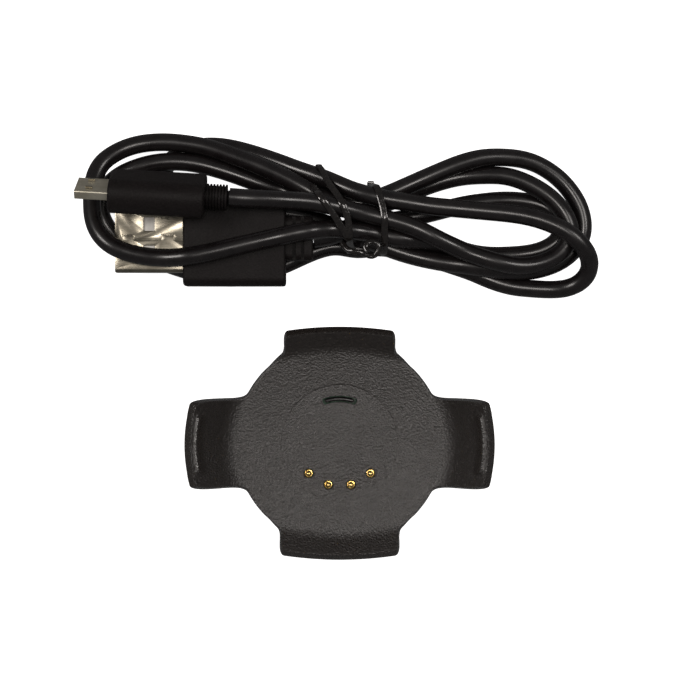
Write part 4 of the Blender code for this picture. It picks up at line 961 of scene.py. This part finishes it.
PAD_RADIUS, PAD_TOP, PAD_EDGE, PAD_GROOVES, PAD_LAND = 0.0143, 0.0007, 0.0003, 3, 0.0028
PAD_GROOVE_SIDE, PAD_GROOVE_WIDTH, PAD_GROOVE_DEPTH = 0.00025, 0.0006, 0.0002
BASE_BOTTOM, BASE_TOP, BASE_FOOT_EDGE, BASE_WALL = 0.0003, 0.0072, 0.0006, 0.0015
BASE_RADIUS_BOTTOM, BASE_RADIUS_TOP = 0.0158, 0.0168
FLOOR_BOTTOM, FLOOR_TOP = 0.0009, 0.0019
SCREW_BOTTOM, SCREW_HEAD_RADIUS, SCREW_HEAD_HEIGHT = 0.0011, 0.0013, 0.0008
BASE_BOSS_RADIUS, BASE_BOSS_TOP = 0.0020, 0.0043
SOCKET_WIDTH, SOCKET_HEIGHT, SOCKET_WALL = 0.0075, 0.00245, 0.00025
SOCKET_BACK, SOCKET_MOUTH, SOCKET_BOTTOM = 0.0109, 0.0159, 0.0031
HOUSING_FLAT, FLAT_HALF_WIDTH = 0.0161, 0.0060


def make_housing():
    housing = rod("lower_housing", 0, 0, BASE_BOTTOM, BASE_TOP, BASE_RADIUS_BOTTOM, 128)
    flare = BASE_RADIUS_TOP / BASE_RADIUS_BOTTOM
    pick(housing, "FACE", facing(2, 1))
    bpy.ops.transform.resize(value=(flare, flare, 1), center_override=(0, 0, BASE_TOP))
    bpy.ops.mesh.inset(thickness=BASE_WALL)
    inner = (BASE_RADIUS_BOTTOM - BASE_WALL + 0.0002) / (BASE_RADIUS_TOP - BASE_WALL)
    extend((0, 0, FLOOR_TOP - BASE_TOP), (inner, inner, 1), (0, 0, FLOOR_TOP))
    put_down()
    pick(housing, "FACE", facing(2, -1))
    bpy.ops.mesh.inset(thickness=BASE_RADIUS_BOTTOM - PAD_RADIUS - GAP)
    extend((0, 0, FLOOR_BOTTOM - BASE_BOTTOM))
    put_down()
    bosses, cutters = [], []
    for degrees in SCREW_ANGLES:
        x, y = on_circle(SCREW_CIRCLE, degrees)
        head_top = SCREW_BOTTOM + SCREW_HEAD_HEIGHT + GAP
        bosses.append(rod("housing_boss", x, y, FLOOR_BOTTOM + GAP, BASE_BOSS_TOP, BASE_BOSS_RADIUS, 32))
        cutters.append(rod("head_recess", x, y, 0, head_top, SCREW_HEAD_RADIUS + GAP, 32))
        cutters.append(rod("screw_hole", x, y, 0, BASE_BOSS_TOP + 0.001, SCREW_RADIUS + GAP, 24))
    side, top = SOCKET_WIDTH / 2 + GAP, SOCKET_BOTTOM + SOCKET_HEIGHT + GAP
    cutters.append(block("socket_window", (-side, 0.0130, SOCKET_BOTTOM - GAP), (side, 0.02, top)))
    flat = (-FLAT_HALF_WIDTH, HOUSING_FLAT, 0.001)
    cutters.append(block("plug_flat", flat, (FLAT_HALF_WIDTH, 0.02, 0.010)))
    cut(housing, bosses, "UNION")
    cut(housing, cutters)
    round_edges(housing, outer_rim(BASE_BOTTOM, BASE_RADIUS_BOTTOM), BASE_FOOT_EDGE, 4)
    soften(housing, 0.00012, 2, 55)
    return hand_over(housing, HOUSING_FINISH, "cradle", "housing_plastic", "base_housing")


def make_foot():
    """The rubber disc, with shallow ring grooves in the face that grips the table."""
    foot = rod("rubber_foot", 0, 0, 0, PAD_TOP, PAD_RADIUS, 96)
    pick(foot, "FACE", facing(2, -1))
    for _ in range(PAD_GROOVES):
        bpy.ops.mesh.inset(thickness=PAD_LAND)
        bpy.ops.mesh.inset(thickness=PAD_GROOVE_SIDE)
        extend((0, 0, PAD_GROOVE_DEPTH))
        bpy.ops.mesh.inset(thickness=PAD_GROOVE_WIDTH)
        bpy.ops.mesh.inset(thickness=PAD_GROOVE_SIDE)
        extend((0, 0, -PAD_GROOVE_DEPTH))
    put_down()
    round_edges(foot, outer_rim(0, PAD_RADIUS), PAD_EDGE, 3)
    return hand_over(foot, RUBBER_FINISH, "cradle", "pad_rubber", "anti_slip_pad")


def make_socket_shell():
    """The folded steel sleeve that the lead's micro plug goes into."""
    half, top = SOCKET_WIDTH / 2, SOCKET_BOTTOM + SOCKET_HEIGHT
    shell = block("socket_sleeve", (-half, SOCKET_BACK, SOCKET_BOTTOM), (half, SOCKET_MOUTH, top))
    open_sleeve(shell, 1, 1, 0.0005, 4, SOCKET_WALL)
    soften(shell, 0.00005, 2, 60)
    return hand_over(shell, SHELL_STEEL, "cradle", "connector_steel", "socket_shell")


# ---------------------------------------------------------------- USB-A plug

USB_MOUTH, USB_BODY, USB_RELIEF, USB_END = -0.0395, -0.0275, -0.0095, -0.0047
USB_Y, USB_Z = 0.0360, 0.0072
USB_SHELL_WIDTH, USB_SHELL_HEIGHT, USB_SHELL_WALL = 0.0120, 0.0045, 0.0003
USB_BODY_WIDTH, USB_BODY_HEIGHT, USB_BODY_EDGE, END_EDGE = 0.0168, 0.0074, 0.0015, 0.0005
USB_RELIEF_WIDTH, USB_RELIEF_HEIGHT, USB_RELIEF_EDGE = 0.0078, 0.0060, 0.0012
USB_WINDOW_X, USB_WINDOW_OFFSET, USB_WINDOW_HALF = -0.0335, 0.0025, (0.0010, 0.0012)
SHELL_HIDDEN = 0.0060
USB_SHELL_CORNER, SHEET_EDGE = 0.0006, 0.00004
WINDOW_CORNER, WINDOW_LAP, BACKING_GAP, BACKING_THICKNESS = 0.0002, 0.0006, 0.00006, 0.0004
USB_SLOTS, SLOT_LONG, SLOT_DEEP, SLOT_RIB = (-0.0083, -0.0068), 0.0006, 0.0007, 0.0005
RELIEF_EDGE = 0.0004
PAST = 0.001  # how far a cutter reaches past the face that it enters
SEAM_Y, SEAM_TAB, SEAM_HALF, SEAM_DEPTH = 0.0357, 0.0009, 0.00009, 0.00012
SEAM_TABS = ((-0.0382, -0.0362), (-0.0313, -0.0291))


def seam_cutters():
    """Narrow blocks along the folded shell's joint, which steps round two dovetail tabs."""
    face = USB_Z + USB_SHELL_HEIGHT / 2

    def groove(x0, x1, y0, y1):
        low = (x0 - SEAM_HALF, y0 - SEAM_HALF, face - SEAM_DEPTH)
        return block("seam", low, (x1 + SEAM_HALF, y1 + SEAM_HALF, face + PAST / 2))

    cutters, x = [], USB_MOUTH - PAST
    for start, end in SEAM_TABS:
        cutters.append(groove(x, start, SEAM_Y, SEAM_Y))
        cutters.append(groove(start, end, SEAM_Y + SEAM_TAB, SEAM_Y + SEAM_TAB))
        cutters += [groove(side, side, SEAM_Y, SEAM_Y + SEAM_TAB) for side in (start, end)]
        x = end
    cutters.append(groove(x, USB_BODY + PAST, SEAM_Y, SEAM_Y))
    return cutters


def make_usb_shell():
    shell = beam(
        "usb_plug_sleeve", USB_MOUTH, USB_BODY + SHELL_HIDDEN, USB_Y, USB_Z,
        USB_SHELL_WIDTH, USB_SHELL_HEIGHT,
    )
    open_sleeve(shell, 0, -1, USB_SHELL_CORNER, 5, USB_SHELL_WALL)
    long, wide = USB_WINDOW_HALF
    cutters = seam_cutters()
    for side in (-1, 1):
        for face in (-1, 1):
            window = beam(
                "window", USB_WINDOW_X - long, USB_WINDOW_X + long, USB_Y + side * USB_WINDOW_OFFSET,
                USB_Z + face * USB_SHELL_HEIGHT / 2, 2 * wide, 4 * USB_SHELL_WALL,
            )
            round_edges(window, running(2), WINDOW_CORNER, 3)
            cutters.append(window)
    cut(shell, cutters)
    soften(shell, SHEET_EDGE, 2, 60)
    make_window_backing()
    return hand_over(shell, SHELL_STEEL, "lead", "connector_steel", "usb_a_shell")


def make_window_backing():
    """The white insulator just under the shell's top wall, seen through its two windows."""
    long, width = USB_WINDOW_HALF[0] + WINDOW_LAP, USB_SHELL_WIDTH - 4 * USB_SHELL_WALL
    top = USB_Z + USB_SHELL_HEIGHT / 2 - USB_SHELL_WALL - BACKING_GAP
    plate = beam(
        "plug_window_backing", USB_WINDOW_X - long, USB_WINDOW_X + long, USB_Y,
        top - BACKING_THICKNESS / 2, width, BACKING_THICKNESS,
    )
    soften(plate, 0.00006, 2, 60)
    return hand_over(plate, INSULATOR_FINISH, "lead", "connector_plastic")


def cut_pocket(grip, start, end, y, z, width, height):
    """Makes room in a grip for the end of its steel shell."""
    pocket = beam("shell_pocket", start - PAST, end + GAP, y, z, width + 2 * GAP, height + 2 * GAP)
    cut(grip, [pocket])


def make_usb_grip():
    """The moulded grip, its relief slotted so that it can bend."""
    grip = beam("usb_plug_grip", USB_BODY, USB_RELIEF, USB_Y, USB_Z, USB_BODY_WIDTH, USB_BODY_HEIGHT)
    round_edges(grip, running(0), USB_BODY_EDGE, 6)
    soften(grip, END_EDGE, 4, 60)
    relief = beam(
        "usb_relief", USB_RELIEF - PAST, USB_END, USB_Y, USB_Z, USB_RELIEF_WIDTH, USB_RELIEF_HEIGHT
    )
    round_edges(relief, running(0), USB_RELIEF_EDGE, 5)
    soften(relief, RELIEF_EDGE, 3, 60)
    slots, deep = [], USB_RELIEF_WIDTH / 2 + PAST - SLOT_RIB
    for x in USB_SLOTS:
        for face in (-1, 1):
            for side in (-1, 1):
                y, z = USB_Y + side * (SLOT_RIB + deep / 2), USB_Z + face * USB_RELIEF_HEIGHT / 2
                slots.append(beam("relief_slot", x, x + SLOT_LONG, y, z, deep, 2 * SLOT_DEEP))
    cut(relief, slots)
    cut(grip, [relief], "UNION")
    cut_pocket(grip, USB_BODY, USB_BODY + SHELL_HIDDEN, USB_Y, USB_Z, USB_SHELL_WIDTH, USB_SHELL_HEIGHT)
    return hand_over(grip, OVERMOULD_FINISH, "lead", "overmould_plastic", "usb_a_overmould")


# ---------------------------------------------------------------- micro plug

MICRO_MOUTH, MICRO_BODY, MICRO_RELIEF = -0.0455, -0.0397, -0.0232
MICRO_MIDDLE = (-0.03245, 0.0435, 0.0158)
MICRO_ROLL, MICRO_YAW = math.radians(-65), math.radians(-3.3)
MICRO_SHELL_WIDTH, MICRO_SHELL_NARROW, MICRO_SHELL_HEIGHT = 0.00685, 0.0054, 0.0018
MICRO_SHELL_WALL, MICRO_SHELL_CORNER, MICRO_SHELL_END = 0.00025, 0.00035, MICRO_BODY + SHELL_HIDDEN / 2
MICRO_BODY_WIDTH, MICRO_BODY_HEIGHT, MICRO_BODY_EDGE = 0.0098, 0.0062, 0.0028
MICRO_RELIEF_RADIUS, MICRO_GROOVE_RADIUS = 0.0022, 0.0019
MICRO_RIBS, MICRO_GROOVE, MICRO_RIB, MICRO_JOIN = 7, 0.00024, 0.0003, 0.00002
TO_MICRO = (
    Matrix.Translation(MICRO_MIDDLE) @ Matrix.Rotation(MICRO_YAW, 4, "Z")
    @ Matrix.Rotation(MICRO_ROLL, 4, "X") @ Matrix.Translation((-MICRO_MIDDLE[0], 0, 0))
)


def make_micro_shell():
    """The steel tip, narrower on one side so that it goes in only one way round."""
    shell = beam(
        "micro_plug_sleeve", MICRO_MOUTH, MICRO_SHELL_END, 0, 0, MICRO_SHELL_WIDTH, MICRO_SHELL_HEIGHT
    )
    pick(shell, "FACE", facing(2, -1))
    narrower = (1, MICRO_SHELL_NARROW / MICRO_SHELL_WIDTH, 1)
    bpy.ops.transform.resize(value=narrower, center_override=(0, 0, -MICRO_SHELL_HEIGHT / 2))
    put_down()
    open_sleeve(shell, 0, -1, MICRO_SHELL_CORNER, 4, MICRO_SHELL_WALL)
    soften(shell, SHEET_EDGE, 2, 60)
    shell.data.transform(TO_MICRO)
    return hand_over(shell, TIP_STEEL, "lead", "connector_steel", "micro_b_shell")


def make_micro_grip():
    """The moulded grip, with its ribbed relief."""
    grip = beam("micro_plug_grip", MICRO_BODY, MICRO_RELIEF, 0, 0, MICRO_BODY_WIDTH, MICRO_BODY_HEIGHT)
    round_edges(grip, running(0), MICRO_BODY_EDGE, 8)
    soften(grip, END_EDGE, 4, 60)
    relief = bar_along_x(
        "micro_relief", MICRO_RELIEF - PAST, MICRO_RELIEF + MICRO_JOIN, MICRO_RELIEF_RADIUS
    )
    pick(relief, "FACE", facing(0, 1))
    step = MICRO_GROOVE_RADIUS / MICRO_RELIEF_RADIUS
    for _ in range(MICRO_RIBS):
        extend((0, 0, 0), (1, step, step))
        extend((MICRO_GROOVE, 0, 0))
        extend((0, 0, 0), (1, 1 / step, 1 / step))
        extend((MICRO_RIB, 0, 0))
    put_down()
    soften(relief, 0.00005, 2, 60)
    cut(grip, [relief], "UNION")
    cut_pocket(grip, MICRO_BODY, MICRO_SHELL_END, 0, 0, MICRO_SHELL_WIDTH, MICRO_SHELL_HEIGHT)
    grip.data.transform(TO_MICRO)
    return hand_over(grip, OVERMOULD_FINISH, "lead", "overmould_plastic", "micro_b_overmould")


# ---------------------------------------------------------------- carried-over pieces and table

NODE_FINISHES = (
    ("circuit_board", LAMINATE_FINISH),
    ("input_capacitor", CERAMIC_FINISH),
    ("resettable_fuse", CERAMIC_FINISH),
    ("case_screw", SCREW_STEEL),
    ("pogo_spring", SPRING_STEEL),
    ("contact", GOLD_FINISH),
    ("latch", SHELL_STEEL),
    ("tongue", WHITE_PLASTIC),
    ("pogo", GOLD_FINISH),
    ("shell", SHELL_STEEL),
    ("overmould", OVERMOULD_FINISH),
    ("base_housing", HOUSING_FINISH),
    ("anti_slip_pad", RUBBER_FINISH),
    ("locating_key", KEY_FINISH),
    ("cradle_tray", HOUSING_FINISH),
    ("twist_tie", TIE_FINISH),
    ("lead", SHEATH_FINISH),
    ("cable_hank", SHEATH_FINISH),
)


def finish_nodes():
    for name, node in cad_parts.items():
        finish = next(finish for part, finish in NODE_FINISHES if part in name)
        for slot in node.material_slots:
            slot.material = finish


def add_table():
    bpy.ops.object.select_all(action="DESELECT")
    bpy.ops.mesh.primitive_plane_add(size=TABLE_SIZE, location=TABLE_PLACE)
    table = bpy.context.object
    table.name = "white_table"
    finish = Finish("table_white", 0.8, specular=0.2)
    finish.tint(finish.grain(40, 2), (0.86, 0.86, 0.86), (0.88, 0.88, 0.88))
    finish.shader.inputs["Emission Color"].default_value = (1, 1, 1, 1)
    finish.shader.inputs["Emission Strength"].default_value = TABLE_GLOW
    table.data.materials.append(finish.material)
    table.visible_glossy = False  # so that polished rims stay dark


add_camera()
cable, cable_line = make_cable()
tie_pieces = make_tie(cable_line)
usb_pieces = [make_usb_shell(), make_usb_grip()]
micro_pieces = [make_micro_shell(), make_micro_grip()]
make_tray()
make_key()
make_pins()
make_housing()
make_foot()
make_socket_shell()
finish_nodes()
add_surroundings()
add_table()
bpy.ops.object.select_all(action="DESELECT")
